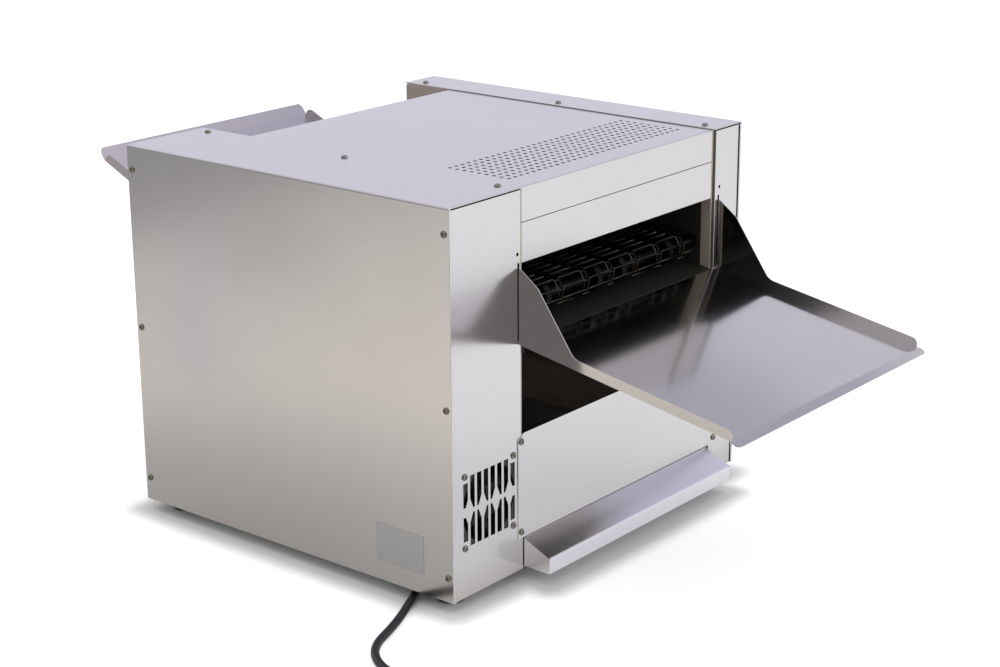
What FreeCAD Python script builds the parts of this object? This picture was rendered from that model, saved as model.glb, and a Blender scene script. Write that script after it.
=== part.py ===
import FreeCAD, Part
import math
import os

from FreeCAD import Vector

# Conveyor toaster, all lengths in millimetres.
# +Z is up, -Y is the operator's front with the feed tray, +Y is the rear where toast comes out.
# +X is the side of the wide compartment that holds the motor, fan and controls.

# Cabinet
body_width = 472.0
body_depth = 424.0
cover_height = 380.0
foot_height = 12.0
controls_width = 104.5
blind_width = 52.0
sheet = 1.0
wall_sheet = 1.5
pan_sheet = 1.2
seam = 0.4
cut_reach = 20.0
cover_return = 3.5
cover_bend = 2.0
fold_round = 0.7
roof_step = 1.0
column_top_gap = 1.8
pan_rise = 1.0
pan_flange = 15.0
wall_top_flange = 20.0
wall_foot_flange = 8.0
column_flange = 12.0
column_overlap = 2.5
column_joggle = 5.5
column_return = 5.0
header_recess = 1.3
top_fold = 34.0
top_side_flange = 12.0
header_height = 38.0
header_flange = 8.0
top_setback = 67.0
front_header_drop = 78.0
lower_panel_bottom = 33.0
lower_panel_height = 107.0
lower_panel_right_ear = 5.5
lower_panel_left_ear = 11.5
lower_panel_clip_width = 9.0
lower_panel_clip_height = 7.0
front_panel_bottom = 5.0
front_panel_top = 238.0

# Vent rows in the top panel
vent_columns = 31
vent_rows = 9
vent_pitch_x = 9.2
vent_pitch_y = 9.0
vent_hole_radius = 2.1
vent_edge = 32.5

# Feet
foot_radius = 15.0
foot_inset = 28.0

# Screws
screw_head_radius = 3.4
screw_head_height = 2.0
screw_radius = 1.5
screw_hole_radius = 1.7
screw_grip = 4.0
side_screw_edge = 6.5
side_screw_heights = (24.5, 190.0, 355.5)
strip_screw_inset = 12.5
strip_screw_edge = 20.0
panel_screw_inset = 4.5
panel_screw_low = 6.5
panel_screw_high = 99.0

# Belt, a level loop of cross wires over two shafts
belt_pitch = 11.0
belt_span_wires = 34
sprocket_teeth = 8
belt_wire_radius = 1.0
belt_width = 286.0
link_columns = 7
link_pitch = 41.0
link_width = 3.0
link_thickness = 1.2
rear_shaft_inset = 27.0
rear_shaft_height = 258.0
shaft_radius = 6.0
shaft_fit = 0.05
sprocket_width = 8.0
wire_clearance = 0.5
tooth_share = 0.6
sprocket_offsets = (-102.5, -20.5, 20.5, 102.5)
rail_radius = 2.5
rail_offsets = (-61.5, 61.5)
rail_gap = 0.4
rail_inset = 22.0
cross_bar_width = 8.0
cross_bar_height = 4.0
cross_bar_inset = 36.0

# Bearings
bearing_radius = 8.0
bearing_flange_radius = 13.0
bearing_flange = 3.0
bearing_boss = 4.5
bearing_fit = 0.1

# Heating elements and reflector
element_radius = 4.5
element_fit = 0.2
element_places = (80.0, 214.0, 348.0)
upper_element_height = 325.0
lower_element_height = 255.5
element_holder_radius = 9.0
element_holder_length = 9.0
element_end = 4.0
reflector_height = 342.0
reflector_start = 12.0
reflector_end = 346.0
reflector_flange = 12.0

# Chute below the discharge end of the belt, and the tray's edge below the chute
chute_clearance = 12.1
chute_start = 0.3
chute_end = 50.0
chute_slope = 12.0
chute_drop = 25.0
chute_flange = 12.0

# Discharge tray
tray_edge_step = 0.2
tray_slope = 10.0
tray_reach = 237.0
tray_flange = 9.0
tray_flange_end = 237.0
tray_end_round = 7.0
tray_lip = 10.1
tray_lip_bend = 10.0
tray_lip_extra = 3.0
tray_lip_corner = 6.0
sheet_bend = 1.5
wing_right_offset = 3.5
wing_left_offset = 6.5
wing_top = 303.0
wing_flat = 1.5
wing_knee_reach = 22.0
wing_knee_height = 288.0
wing_knee_round = 9.0
wing_foot_reach = 63.8
wing_foot_round = 14.0

# Slots that the trays hook into, and their hooks
slot_bottom = 232.8
slot_top = 308.5
slot_width = 3.0
hook_depth = 8.0
hook_drop = 8.0
hook_top = 288.0
tray_gap = 0.3
sight_hole_radius = 1.8
sight_hole_height = 317.0
sight_hole_offset = 1.4

# Feed tray
feed_slope = 24.5
feed_reach = 160.5
feed_edge_height = 249.6
feed_flat_height = 274.5
feed_inner_reach = 12.0
feed_flange = 10.0
feed_lip = 15.0
feed_lip_bend = 28.5
feed_lip_corner = 5.0
feed_flange_end = 160.5
feed_end_round = 8.0
feed_side_gap = 0.8
feed_slot_offset = 12.0
feed_slot_bottom = 262.0
feed_slot_top = 300.0
feed_hook_top = 286.0
feed_ear_bottom = 256.0
feed_ear_top = 292.0

# Crumb tray
crumb_side_gap = 0.8
crumb_lift = 0.3
crumb_wall = 28.0
crumb_reach = 396.0
ledge_top = 32.0
ledge_front_top = 17.5
ledge_front_bottom = 2.0
ledge_reach = 31.0
rail_leg = 10.0
rail_shelf = 8.0
rail_height = 39.0
rail_rear = 10.0
rail_front = 400.0

# Fan and the vent cut in front of it
fan_size = 80.0
fan_depth = 25.0
fan_screw_pitch = 71.5
fan_inset = 54.15
fan_center_height = 85.45
fan_bore_radius = 38.0
fan_tip_gap = 1.0
fan_hub_radius = 17.0
fan_blades = 7
fan_blade_thickness = 2.2
fan_blade_pitch = 32.0
fan_blade_inset = 2.5
fan_blade_root = 2.0
fan_strut = 4.0
fan_strut_depth = 3.0
fan_stator_depth = 6.0
fan_axle_radius = 2.0
fan_hub_gap = 0.5
fan_face_gap = 2.0
vent_slots = 8
vent_slot_pitch = 9.9
vent_slot_width = 6.6
vent_slot_half_height = 35.0
vent_end_slot_half_height = 29.0
vent_bar = 4.4
vent_end_bar = 9.6
vent_diamond_half_width = 6.9
vent_diamond_half_height = 15.8
vent_pad_radius = 5.6

# Motor and chain, with equal wheels
chain_pitch = 6.35
chain_teeth = 12
chain_span_links = 13
chain_roller_radius = 1.65
roller_clearance = 0.3
chain_plate = 0.8
chain_plate_half = 2.2
chain_plane = 16.0
wheel_width = 2.6
wheel_side_gap = 0.3
motor_body = (56.0, 74.0, 66.0)
motor_can_radius = 27.0
motor_can_length = 4.0
motor_shaft_radius = 4.0
motor_shaft_tip = 2.0
motor_shaft_gap = 0.3
motor_plate = 2.0
motor_plate_size = 92.0
motor_plate_hole = 8.0
motor_post_radius = 4.0
motor_post_pitch = 78.0
motor_standoff = 28.0

# Controls on the front of the wide compartment
speed_knob_height = 236.0
heat_knob_height = 156.0
rocker_height = 306.0
lamp_height = 346.0
knob_radius = 19.0
knob_depth = 20.0
knob_skirt_radius = 22.0
knob_skirt = 4.0
knob_gap = 0.6
knob_flutes = 12
knob_flute_radius = 2.4
knob_socket = 14.0
knob_collar = 3.0
pointer_width = 2.4
pointer_depth = 1.0
pointer_start = 0.3
spindle_radius = 3.0
spindle_fit = 0.05
spindle_reach = 6.0
spindle_end_gap = 0.5
bush_radius = 4.6
bush_rise = 1.5
bush_gap = 0.8
control_body_radius = 14.0
control_body_depth = 16.0
heat_body_size = 32.0
heat_body_depth = 38.0
switch_width = 22.0
switch_length = 30.0
switch_bezel = 2.0
switch_depth = 24.0
switch_mouth = 9.0
rocker_margin = 3.0
rocker_gap = 0.6
rocker_pivot_depth = 3.0
rocker_face_rise = 6.0
rocker_back = 3.0
rocker_travel = 20.0
lamp_radius = 6.0
lamp_bezel_radius = 7.5
lamp_bezel = 1.2
lamp_round = 1.6
lamp_rise = 3.5
lamp_depth = 18.0

# Parts fixed to the wall of the wide compartment
contactor_size = (44.0, 46.0, 74.0)
contactor_place = (250.0, 50.0)
contactor_base = 26.0
contactor_ear = 4.0
contactor_step = 0.2
board_size = (84.0, 62.0)
board_place = (176.0, 160.0)
board_standoff = 8.0
board_thickness = 1.6
board_post_radius = 2.5
board_post_inset = 6.5
transformer_size = (14.0, 21.0, 25.0)
transformer_place = (12.5, 12.5)
capacitor_radius = 7.0
capacitor_height = 16.0
capacitor_place = (59.0, 31.0)
terminal_size = (64.0, 22.0, 20.0)
terminal_place = 150.0
terminal_gap = 8.0
terminal_ways = 5
terminal_well = 3.0
cutout_radius = 12.0
cutout_depth = 9.0
cutout_ears = (36.0, 10.0, 1.2)
cutout_place = (236.0, 352.0)

# Blank plate on the side cover
plate_size = (60.0, 39.0)
plate_thickness = 0.4
plate_place = (36.5, 19.0)

# Mains cord, its recess under the floor pan, its gland and its plug
well_outer = 12.0
well_inner = 93.0
well_rear = 44.0
well_front = 86.0
well_top = 42.0
gland_height = 24.0
gland_inset = 65.0
gland_radius = 8.0
gland_tip_radius = 5.6
gland_nut = 5.0
gland_collar = 4.0
gland_dome = 23.0
gland_dome_radius = 7.5
gland_thread_radius = 7.0
gland_hole_radius = 7.2
gland_bore_radius = 3.0
cord_radius = 4.0
coil_radius = 54.0
coil_step = 4.3
coil_layer = 8.6
coil_half_turns = 4
coil_end = 8.0
coil_exit = 24.0
gap_step = 1.5
plug_length = 38.0
plug_width = 36.0
plug_height = 25.4
plug_round = 8.0
plug_relief = 30.0
plug_relief_tip = 5.4
plug_relief_root = 8.0
plug_blade = (1.6, 6.4, 18.0)
plug_blade_pitch = 12.7
plug_ground_radius = 2.4
plug_ground_length = 21.0
plug_ground_drop = 7.5

# Planes that the pieces share
cover_bottom_z = foot_height
cover_top_z = foot_height + cover_height
roof_z = cover_top_z - roof_step
right_x = body_width / 2.0
left_x = -right_x
oven_right_x = right_x - controls_width
oven_left_x = left_x + blind_width
wall_right_x = oven_right_x + wall_sheet
wall_left_x = oven_left_x - wall_sheet
oven_center_x = (oven_right_x + oven_left_x) / 2.0
right_column_x = oven_right_x + column_overlap
left_column_x = oven_left_x - column_joggle
wing_right_x = right_column_x + wing_right_offset
wing_left_x = left_column_x - wing_left_offset
lower_panel_right_x = right_column_x + lower_panel_right_ear
lower_panel_left_x = left_column_x - lower_panel_left_ear
feed_right_hook_x = oven_right_x + feed_slot_offset
feed_left_hook_x = oven_left_x - feed_slot_offset
controls_x = right_x - controls_width / 2.0

discharge_end = tray_reach + tray_lip * math.cos(math.radians(tray_slope + tray_lip_bend))
feed_lip_angle = math.radians(feed_slope + feed_lip_bend)
feed_end = feed_reach + feed_lip * math.cos(feed_lip_angle) + sheet * math.sin(feed_lip_angle)
rear_y = (body_depth + feed_end - discharge_end) / 2.0
front_y = rear_y - body_depth
column_y = rear_y - sheet
pan_bottom_z = cover_bottom_z + pan_rise
pan_top_z = pan_bottom_z + pan_sheet
belt_radius = belt_pitch * sprocket_teeth / (2.0 * math.pi)
belt_low_z = cover_bottom_z + rear_shaft_height - belt_radius - belt_wire_radius
chute_z = belt_low_z - chute_clearance


def block(x0, x1, y0, y1, z0, z1):
    corner = Vector(min(x0, x1), min(y0, y1), min(z0, z1))
    return Part.makeBox(abs(x1 - x0), abs(y1 - y0), abs(z1 - z0), corner)


def rod(start, direction, radius, length):
    return Part.makeCylinder(radius, length, start, direction)


def tube_ring(start, direction, outer, inner, length):
    return rod(start, direction, outer, length).cut(rod(start, direction, inner, length))


def corner_arc(back, here, ahead, radius):
    to_back = back - here
    to_ahead = ahead - here
    half_turn_angle = (math.pi - to_back.getAngle(to_ahead)) / 2.0
    to_back.normalize()
    to_ahead.normalize()
    reach = radius * math.tan(half_turn_angle)
    inner = to_back + to_ahead
    inner.normalize()
    middle = here + inner * (radius / math.cos(half_turn_angle) - radius)
    return here + to_back * reach, middle, here + to_ahead * reach


def outline_face(corners):
    # Each corner is a point and the radius that rounds it, where 0 leaves it sharp
    joints = []
    count = len(corners)
    for number, (here, radius) in enumerate(corners):
        if radius > 0.0:
            ahead = corners[(number + 1) % count][0]
            joints.append(corner_arc(corners[number - 1][0], here, ahead, radius))
        else:
            joints.append((here, None, here))
    edges = []
    for number, (first, middle, last) in enumerate(joints):
        if middle is not None:
            edges.append(Part.Arc(first, middle, last).toShape())
        following = joints[(number + 1) % count][0]
        if last.distanceToPoint(following) > 1e-6:
            edges.append(Part.LineSegment(last, following).toShape())
    return Part.Face(Part.Wire(edges))


def corner_radius(corner):
    return corner[2] if len(corner) > 2 else 0.0


def prism_x(outline, x0, x1):
    corners = [(Vector(x0, corner[0], corner[1]), corner_radius(corner)) for corner in outline]
    return outline_face(corners).extrude(Vector(x1 - x0, 0, 0))


def prism_y(outline, y0, y1):
    corners = [(Vector(corner[0], y0, corner[1]), corner_radius(corner)) for corner in outline]
    return outline_face(corners).extrude(Vector(0, y1 - y0, 0))


def folded_sheet(line, thickness, bend):
    # The line is one face of the sheet, and the thickness lies to the right of its travel
    count = len(line)
    outline = []
    offset = []
    for number, (across, up) in enumerate(line):
        normals = []
        turn = 0.0
        if number > 0:
            back = (across - line[number - 1][0], up - line[number - 1][1])
            length = math.hypot(*back)
            normals.append((back[1] / length, -back[0] / length))
        if number < count - 1:
            ahead = (line[number + 1][0] - across, line[number + 1][1] - up)
            length = math.hypot(*ahead)
            normals.append((ahead[1] / length, -ahead[0] / length))
        mitre = 1.0
        if len(normals) == 2:
            mitre += normals[0][0] * normals[1][0] + normals[0][1] * normals[1][1]
            turn = back[0] * ahead[1] - back[1] * ahead[0]
        near = 0.0 if turn == 0.0 else (bend if turn > 0.0 else bend + thickness)
        far = 0.0 if turn == 0.0 else (bend + thickness if turn > 0.0 else bend)
        shift_across = sum(normal[0] for normal in normals) / mitre * thickness
        shift_up = sum(normal[1] for normal in normals) / mitre * thickness
        outline.append((across, up, near))
        offset.append((across + shift_across, up + shift_up, far))
    return outline + offset[::-1]


def join(shapes):
    whole = shapes[0]
    if len(shapes) > 1:
        whole = whole.multiFuse(shapes[1:])
    return whole.removeSplitter()


def group(shapes):
    return Part.makeCompound(shapes)


def save(name, shape):
    solids = len(shape.Solids)
    print("%-22s solids %3d volume %12.1f" % (name, solids, shape.Volume))
    shape.exportStep("parts/%s.step" % name)


X_AXIS = Vector(1, 0, 0)
Y_AXIS = Vector(0, 1, 0)
Z_AXIS = Vector(0, 0, 1)

# Loops run from the top of their rear wheel towards the front
belt_wires = 2 * belt_span_wires + sprocket_teeth
shaft_span = belt_span_wires * belt_pitch
rear_shaft = Vector(0, rear_y - rear_shaft_inset, cover_bottom_z + rear_shaft_height)
front_shaft = rear_shaft - Vector(0, shaft_span, 0)
chain_radius = chain_pitch * chain_teeth / (2.0 * math.pi)
chain_span = chain_span_links * chain_pitch
motor_axis = rear_shaft - Vector(0, chain_span, 0)


def loop_point(start, span, radius, travel):
    bend = math.pi * radius
    if travel < span:
        return start + Vector(0, -travel, radius)
    if travel < span + bend:
        turn = (travel - span) / radius
        return start + Vector(0, -span - radius * math.sin(turn), radius * math.cos(turn))
    if travel < 2.0 * span + bend:
        return start + Vector(0, travel - bend - 2.0 * span, -radius)
    turn = (travel - bend - 2.0 * span) / radius
    return start + Vector(0, radius * math.sin(turn), -radius * math.cos(turn))


def loop_body(start, span, radius, width):
    top = start + Vector(0, 0, radius)
    low = start - Vector(0, 0, radius)
    run = Vector(0, -span, 0)
    side = Vector(0, radius, 0)
    edges = [
        Part.LineSegment(top, top + run).toShape(),
        Part.Arc(top + run, start + run - side, low + run).toShape(),
        Part.LineSegment(low + run, low).toShape(),
        Part.Arc(low, start + side, top).toShape(),
    ]
    return Part.Face(Part.Wire(edges)).extrude(Vector(width, 0, 0))


def loop_band(start, span, outer, inner, width):
    return loop_body(start, span, outer, width).cut(loop_body(start, span, inner, width))


def valley_wheel(start, teeth, pitch, bar_radius, clearance, bore, width):
    radius = pitch * teeth / (2.0 * math.pi)
    wheel = rod(start, X_AXIS, radius + bar_radius * tooth_share, width)
    cuts = [rod(start - X_AXIS, X_AXIS, bore, width + 2.0)]
    for number in range(teeth):
        angle = (number + 0.5) * 2.0 * math.pi / teeth
        at = start + Vector(-1.0, radius * math.sin(angle), radius * math.cos(angle))
        cuts.append(rod(at, X_AXIS, bar_radius + clearance, width + 2.0))
    return wheel.cut(Part.makeCompound(cuts))


def element_points():
    points = []
    for height in (lower_element_height, upper_element_height):
        for place in element_places:
            points.append(Vector(0, rear_y - place, cover_bottom_z + height))
    return points


# Screw places: (point on the outer face, direction into the cabinet)
def side_screws():
    places = []
    for height in side_screw_heights:
        for y in (rear_y - side_screw_edge, front_y + side_screw_edge):
            for x, inward in ((right_x, -1), (left_x, 1)):
                places.append((Vector(x, y, cover_bottom_z + height), Vector(inward, 0, 0)))
    return places


def strip_screws():
    places = []
    for y in (rear_y - strip_screw_edge, rear_y - body_depth / 2.0, front_y + strip_screw_edge):
        for x in (oven_right_x + strip_screw_inset, oven_left_x - strip_screw_inset):
            places.append((Vector(x, y, cover_top_z), Vector(0, 0, -1)))
    return places


def lower_panel_screws():
    places = []
    for height in (panel_screw_low, panel_screw_high):
        z = cover_bottom_z + lower_panel_bottom + height
        for x in (lower_panel_right_x - panel_screw_inset, lower_panel_left_x + panel_screw_inset):
            places.append((Vector(x, rear_y, z), Vector(0, -1, 0)))
    return places


def fan_screws():
    places = []
    center_x = right_x - fan_inset
    for across in (-0.5, 0.5):
        for up in (-0.5, 0.5):
            x = center_x + across * fan_screw_pitch
            z = cover_bottom_z + fan_center_height + up * fan_screw_pitch
            places.append((Vector(x, column_y, z), Vector(0, -1, 0)))
    return places


def make_screw(place, grip):
    point, inward = place
    head = rod(point - inward * screw_head_height, inward, screw_head_radius, screw_head_height)
    rims = [edge for edge in head.Edges if abs((edge.CenterOfMass - point).dot(inward)) > 1.0]
    head = head.makeFillet(screw_head_height * 0.7, rims)
    return join([head, rod(point - inward * 0.5, inward, screw_radius, grip + 0.5)])


def drill(shape, places, depth=8.0):
    holes = []
    for point, inward in places:
        holes.append(rod(point - inward * 2.0, inward, screw_hole_radius, depth))
    return shape.cut(Part.makeCompound(holes))


def side_cover(outer_x, inner_x):
    line = [(outer_x, cover_bottom_z), (outer_x, cover_top_z), (inner_x, cover_top_z)]
    if inner_x < outer_x:
        line.reverse()
    shell = prism_y(folded_sheet(line, sheet, cover_bend - sheet), rear_y, front_y)
    inward = 1 if inner_x > outer_x else -1
    flaps = []
    for y0, y1 in ((rear_y, rear_y - sheet), (front_y, front_y + sheet)):
        top_z = cover_top_z - cover_bend
        flaps.append(block(outer_x, outer_x + inward * cover_return, y0, y1, cover_bottom_z, top_z))
    cover = join([shell] + flaps)
    rims = []
    for edge in cover.Edges:
        ends = [vertex.Point for vertex in edge.Vertexes]
        across = max(end.y for end in ends) - min(end.y for end in ends)
        outside = all(abs(end.x - outer_x) < 0.01 or abs(end.z - cover_top_z) < 0.01 for end in ends)
        at_end = abs(abs(ends[0].y) - rear_y) < 0.01
        if across < 0.01 and outside and at_end:
            rims.append(edge)
    cover = cover.makeFillet(fold_round, rims)
    return drill(cover, side_screws() + strip_screws())


def make_side_covers():
    save("right_side_cover", side_cover(right_x, oven_right_x + seam))
    save("left_side_cover", side_cover(left_x, oven_left_x - seam))


def inner_wall(face_x, outward):
    back_x = face_x + outward * wall_sheet
    top_z = cover_top_z - sheet
    y0 = rear_y - sheet * 2 - seam / 2.0
    y1 = front_y + sheet * 2 + seam / 2.0
    plate = block(face_x, back_x, y0, y1, pan_top_z, top_z)
    rim_y0 = y0 - column_return - sheet
    rim_y1 = y1 + column_flange + sheet
    upper_x = back_x + outward * wall_top_flange
    foot_x = back_x + outward * wall_foot_flange
    upper = block(face_x, upper_x, rim_y0, rim_y1, top_z - wall_sheet, top_z)
    foot = block(face_x, foot_x, rim_y0, rim_y1, pan_top_z, pan_top_z + wall_sheet)
    wall = join([plate, upper, foot])
    places = [(center, bearing_radius + bearing_fit) for center in (rear_shaft, front_shaft)]
    places += [(center, element_radius + element_fit * 2.0) for center in element_points()]
    holes = []
    for center, radius in places:
        start = Vector(face_x - cut_reach / 2.0, center.y, center.z)
        holes.append(rod(start, X_AXIS, radius, cut_reach))
    return drill(wall.cut(Part.makeCompound(holes)), strip_screws())


def make_inner_walls():
    save("right_inner_wall", inner_wall(oven_right_x, 1))
    save("left_inner_wall", inner_wall(oven_left_x, -1))


def make_base_pan():
    inner = sheet + seam / 2.0
    x0 = left_x + inner
    x1 = right_x - inner
    y0 = front_y + sheet * 2 + seam / 2.0
    y1 = rear_y - sheet * 2 - seam / 2.0
    pan = [block(x0, x1, y0, y1, pan_bottom_z, pan_top_z)]
    flange_y0 = y0 + column_flange + sheet
    flange_y1 = y1 - column_flange - sheet
    for side_x, inward in ((x0, 1), (x1, -1)):
        flange_x = side_x + inward * pan_sheet
        pan.append(block(side_x, flange_x, flange_y0, flange_y1, pan_bottom_z, pan_bottom_z + pan_flange))
    pan = join(pan)
    well_x0 = right_x - well_outer
    well_x1 = right_x - well_inner
    well = block(well_x0, well_x1, rear_y - well_rear, rear_y - well_front, 0, pan_top_z)
    save("base_pan", pan.cut(well))


def make_feet():
    feet = []
    for x in (left_x + foot_inset, right_x - foot_inset):
        for y in (rear_y - foot_inset, front_y + foot_inset):
            foot = rod(Vector(x, y, 0), Z_AXIS, foot_radius, pan_bottom_z)
            rims = [edge for edge in foot.Edges if edge.CenterOfMass.z < 0.01]
            feet.append(foot.makeFillet(2.0, rims))
    save("feet", group(feet))


def make_top_panel():
    x0 = oven_left_x + seam
    x1 = oven_right_x - seam
    y_rear = column_y - header_recess
    y_front = front_y + top_setback
    panel = [block(x0, x1, y_front, y_rear, roof_z - sheet, roof_z)]
    panel.append(block(x0, x1, y_rear - sheet, y_rear, cover_top_z - top_fold, roof_z))
    for side_x, inward in ((x0, 1), (x1, -1)):
        low_z = roof_z - top_side_flange
        panel.append(block(side_x, side_x + inward * sheet, y_front, y_rear, low_z, roof_z))
    panel = join(panel)
    holes = []
    first_x = oven_center_x - (vent_columns - 1) * vent_pitch_x / 2.0
    for column in range(vent_columns):
        for row in range(vent_rows):
            x = first_x + column * vent_pitch_x
            y = rear_y - vent_edge - row * vent_pitch_y
            holes.append(Part.Wire(Part.makeCircle(vent_hole_radius, Vector(x, y, roof_z - 3.0))))
    field = Part.makeCompound([Part.Face(hole).extrude(Vector(0, 0, 6.0)) for hole in holes])
    panel = panel.cut(field)
    corner = [
        edge for edge in panel.Edges
        if abs(edge.CenterOfMass.y - y_rear) < 0.01 and abs(edge.CenterOfMass.z - roof_z) < 0.01
    ]
    save("top_panel", panel.makeFillet(cover_bend * 0.45, corner))


def make_headers():
    x0 = oven_left_x + seam
    x1 = oven_right_x - seam
    top_z = cover_top_z - top_fold - seam * 2
    bottom_z = top_z - header_height
    y = column_y - header_recess
    rear = [block(x0, x1, y - sheet, y, bottom_z, top_z)]
    rear.append(block(x0, x1, y - header_flange, y, bottom_z, bottom_z + sheet))
    save("rear_header", join(rear))
    y = front_y + top_setback
    top_z = roof_z - sheet
    bottom_z = cover_top_z - front_header_drop
    inner0 = x0 + sheet + seam / 2.0
    inner1 = x1 - sheet - seam / 2.0
    front = [block(inner0, inner1, y, y + sheet, bottom_z, top_z)]
    front.append(block(inner0, inner1, y, y + header_flange, bottom_z, bottom_z + sheet))
    save("front_header", join(front))


def column(outer_x, inner_x, face_y, into):
    inward = 1 if inner_x > outer_x else -1
    edge_x = outer_x + inward * (sheet + seam / 2.0)
    back_y = face_y + into * sheet
    deep_y = back_y + into * column_flange
    top_z = cover_top_z - sheet - column_top_gap
    panel = [block(edge_x, inner_x, face_y, back_y, cover_bottom_z, top_z)]
    low_z = pan_top_z + seam
    panel.append(block(edge_x, edge_x + inward * sheet, face_y, deep_y, low_z, top_z))
    return panel


def wing_slots(xs, face_y, into, low, high):
    half = slot_width / 2.0
    slots = []
    for x in xs:
        slots.append(block(x - half, x + half, face_y - into * 2.0, face_y + into * 4.0, low, high))
    return slots


def fold_eased(panel, fold_x):
    edges = []
    for edge in panel.Edges:
        ends = [vertex.Point for vertex in edge.Vertexes]
        on_fold = all(abs(end.x - fold_x) < 0.01 and abs(end.y - column_y) < 0.01 for end in ends)
        if on_fold:
            edges.append(edge)
    return panel.makeFillet(fold_round, edges)


def make_rear_columns():
    inner_top = cover_top_z - sheet - wall_sheet - seam
    inner_bottom = pan_top_z + wall_sheet + seam
    return_y = column_y - sheet - column_return
    panel_top_z = cover_bottom_z + lower_panel_bottom + lower_panel_height
    right = column(right_x, right_column_x, column_y, -1)
    right.append(block(right_column_x, right_column_x + sheet, column_y, return_y, panel_top_z, inner_top))
    tongue_x = oven_right_x + seam
    tongue_z = panel_top_z - seam
    right.append(block(tongue_x, right_column_x, column_y, column_y - sheet, cover_bottom_z, tongue_z))
    left = column(left_x, left_column_x, column_y, -1)
    left.append(block(left_column_x, left_column_x - sheet, column_y, return_y, inner_bottom, inner_top))
    joggle_x = wall_left_x - seam / 2.0
    left.append(block(left_column_x - sheet, joggle_x, return_y, return_y - sheet, inner_bottom, inner_top))
    low = cover_bottom_z + slot_bottom
    high = cover_bottom_z + slot_top
    right = fold_eased(join(right), right_column_x)
    left = fold_eased(join(left), left_column_x)
    cuts = wing_slots((wing_right_x, wing_left_x), column_y, -1, low, high)
    for x in (wing_right_x + sight_hole_offset, wing_left_x - sight_hole_offset):
        hole_at = Vector(x, column_y + 2.0, cover_bottom_z + sight_hole_height)
        cuts.append(rod(hole_at, Vector(0, -1, 0), sight_hole_radius, 6.0))
    opened = Part.makeCompound(cuts)
    places = lower_panel_screws() + side_screws()
    right = drill(right.cut(opened), places + fan_screws(), 9.0)
    left = drill(left.cut(opened), places, 9.0)
    save("right_rear_column", right.cut(fan_vent()))
    save("left_rear_column", left)


def fan_vent():
    center_x = right_x - fan_inset
    center_z = cover_bottom_z + fan_center_height
    y0 = column_y + 2.0
    y1 = column_y - 4.0
    half = vent_slot_width / 2.0
    middle = (vent_slots - 1) / 2.0
    slots = []
    for number in range(vent_slots):
        x = center_x + (number - middle) * vent_slot_pitch
        at_end = number in (0, vent_slots - 1)
        inner = (vent_end_bar if at_end else vent_bar) / 2.0
        outer = vent_end_slot_half_height if at_end else vent_slot_half_height
        for low, high in ((-outer, -inner), (inner, outer)):
            slots.append(block(x - half, x + half, y0, y1, center_z + low, center_z + high))
    keep = []
    for pair in range(vent_slots // 2):
        x = center_x + (2 * pair + 0.5 - middle) * vent_slot_pitch
        diamond = [
            (x - vent_diamond_half_width, center_z),
            (x, center_z + vent_diamond_half_height),
            (x + vent_diamond_half_width, center_z),
            (x, center_z - vent_diamond_half_height),
        ]
        keep.append(prism_y(diamond, y0, y1))
    for point, inward in fan_screws():
        keep.append(rod(Vector(point.x, y0, point.z), inward, vent_pad_radius, 6.0))
    return Part.makeCompound(slots).cut(Part.makeCompound(keep))


def make_lower_panels():
    z0 = cover_bottom_z + lower_panel_bottom
    z1 = z0 + lower_panel_height
    clip = lower_panel_clip_width
    clip_z = z1 - lower_panel_clip_height
    outline = [
        (lower_panel_left_x, z0),
        (lower_panel_right_x, z0),
        (lower_panel_right_x, clip_z),
        (lower_panel_right_x - clip, z1),
        (lower_panel_left_x + clip, z1),
        (lower_panel_left_x, clip_z),
    ]
    panel = prism_y(outline, rear_y, rear_y - sheet)
    save("lower_rear_panel", drill(panel, lower_panel_screws()))
    y = front_y + sheet
    z0 = cover_bottom_z + front_panel_bottom
    z1 = cover_bottom_z + front_panel_top
    x0 = oven_left_x + seam
    x1 = oven_right_x - seam
    front = [block(x0, x1, y, y + sheet, z0, z1)]
    for side_x, inward in ((x0, 1), (x1, -1)):
        front.append(block(side_x, side_x + inward * sheet, y, y + column_return, z0, z1))
    save("lower_front_panel", join(front))


def control_cutouts(x):
    y = front_y - 2.0
    cuts = []
    for height in (speed_knob_height, heat_knob_height):
        cuts.append(rod(Vector(x, y, cover_bottom_z + height), Y_AXIS, bush_radius + spindle_fit, 9.0))
    z = cover_bottom_z + rocker_height
    half_w = switch_width / 2.0 - switch_bezel + seam / 2.0
    half_l = switch_length / 2.0 - switch_bezel + seam / 2.0
    cuts.append(block(x - half_w, x + half_w, y, y + 9.0, z - half_l, z + half_l))
    cuts.append(rod(Vector(x, y, cover_bottom_z + lamp_height), Y_AXIS, lamp_radius + spindle_fit, 9.0))
    return Part.makeCompound(cuts)


def make_front_columns():
    inner_top = cover_top_z - sheet - wall_sheet - seam
    inner_bottom = pan_top_z + wall_sheet + seam
    face_y = front_y + sheet
    return_y = face_y + sheet + column_return
    right_edge = wall_right_x + seam / 2.0
    right = column(right_x, oven_right_x, face_y, 1)
    right.append(block(right_edge, right_edge + sheet, face_y, return_y, inner_bottom, inner_top))
    low = cover_bottom_z + feed_slot_bottom
    high = cover_bottom_z + feed_slot_top
    slots = Part.makeCompound(wing_slots((feed_right_hook_x, feed_left_hook_x), face_y, 1, low, high))
    right = join(right).cut(control_cutouts(controls_x)).cut(slots)
    left_edge = wall_left_x - seam / 2.0
    left = column(left_x, oven_left_x, face_y, 1)
    left.append(block(left_edge, left_edge - sheet, face_y, return_y, inner_bottom, inner_top))
    save("control_panel", drill(right, side_screws()))
    save("left_front_column", drill(join(left).cut(slots), side_screws()))


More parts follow.
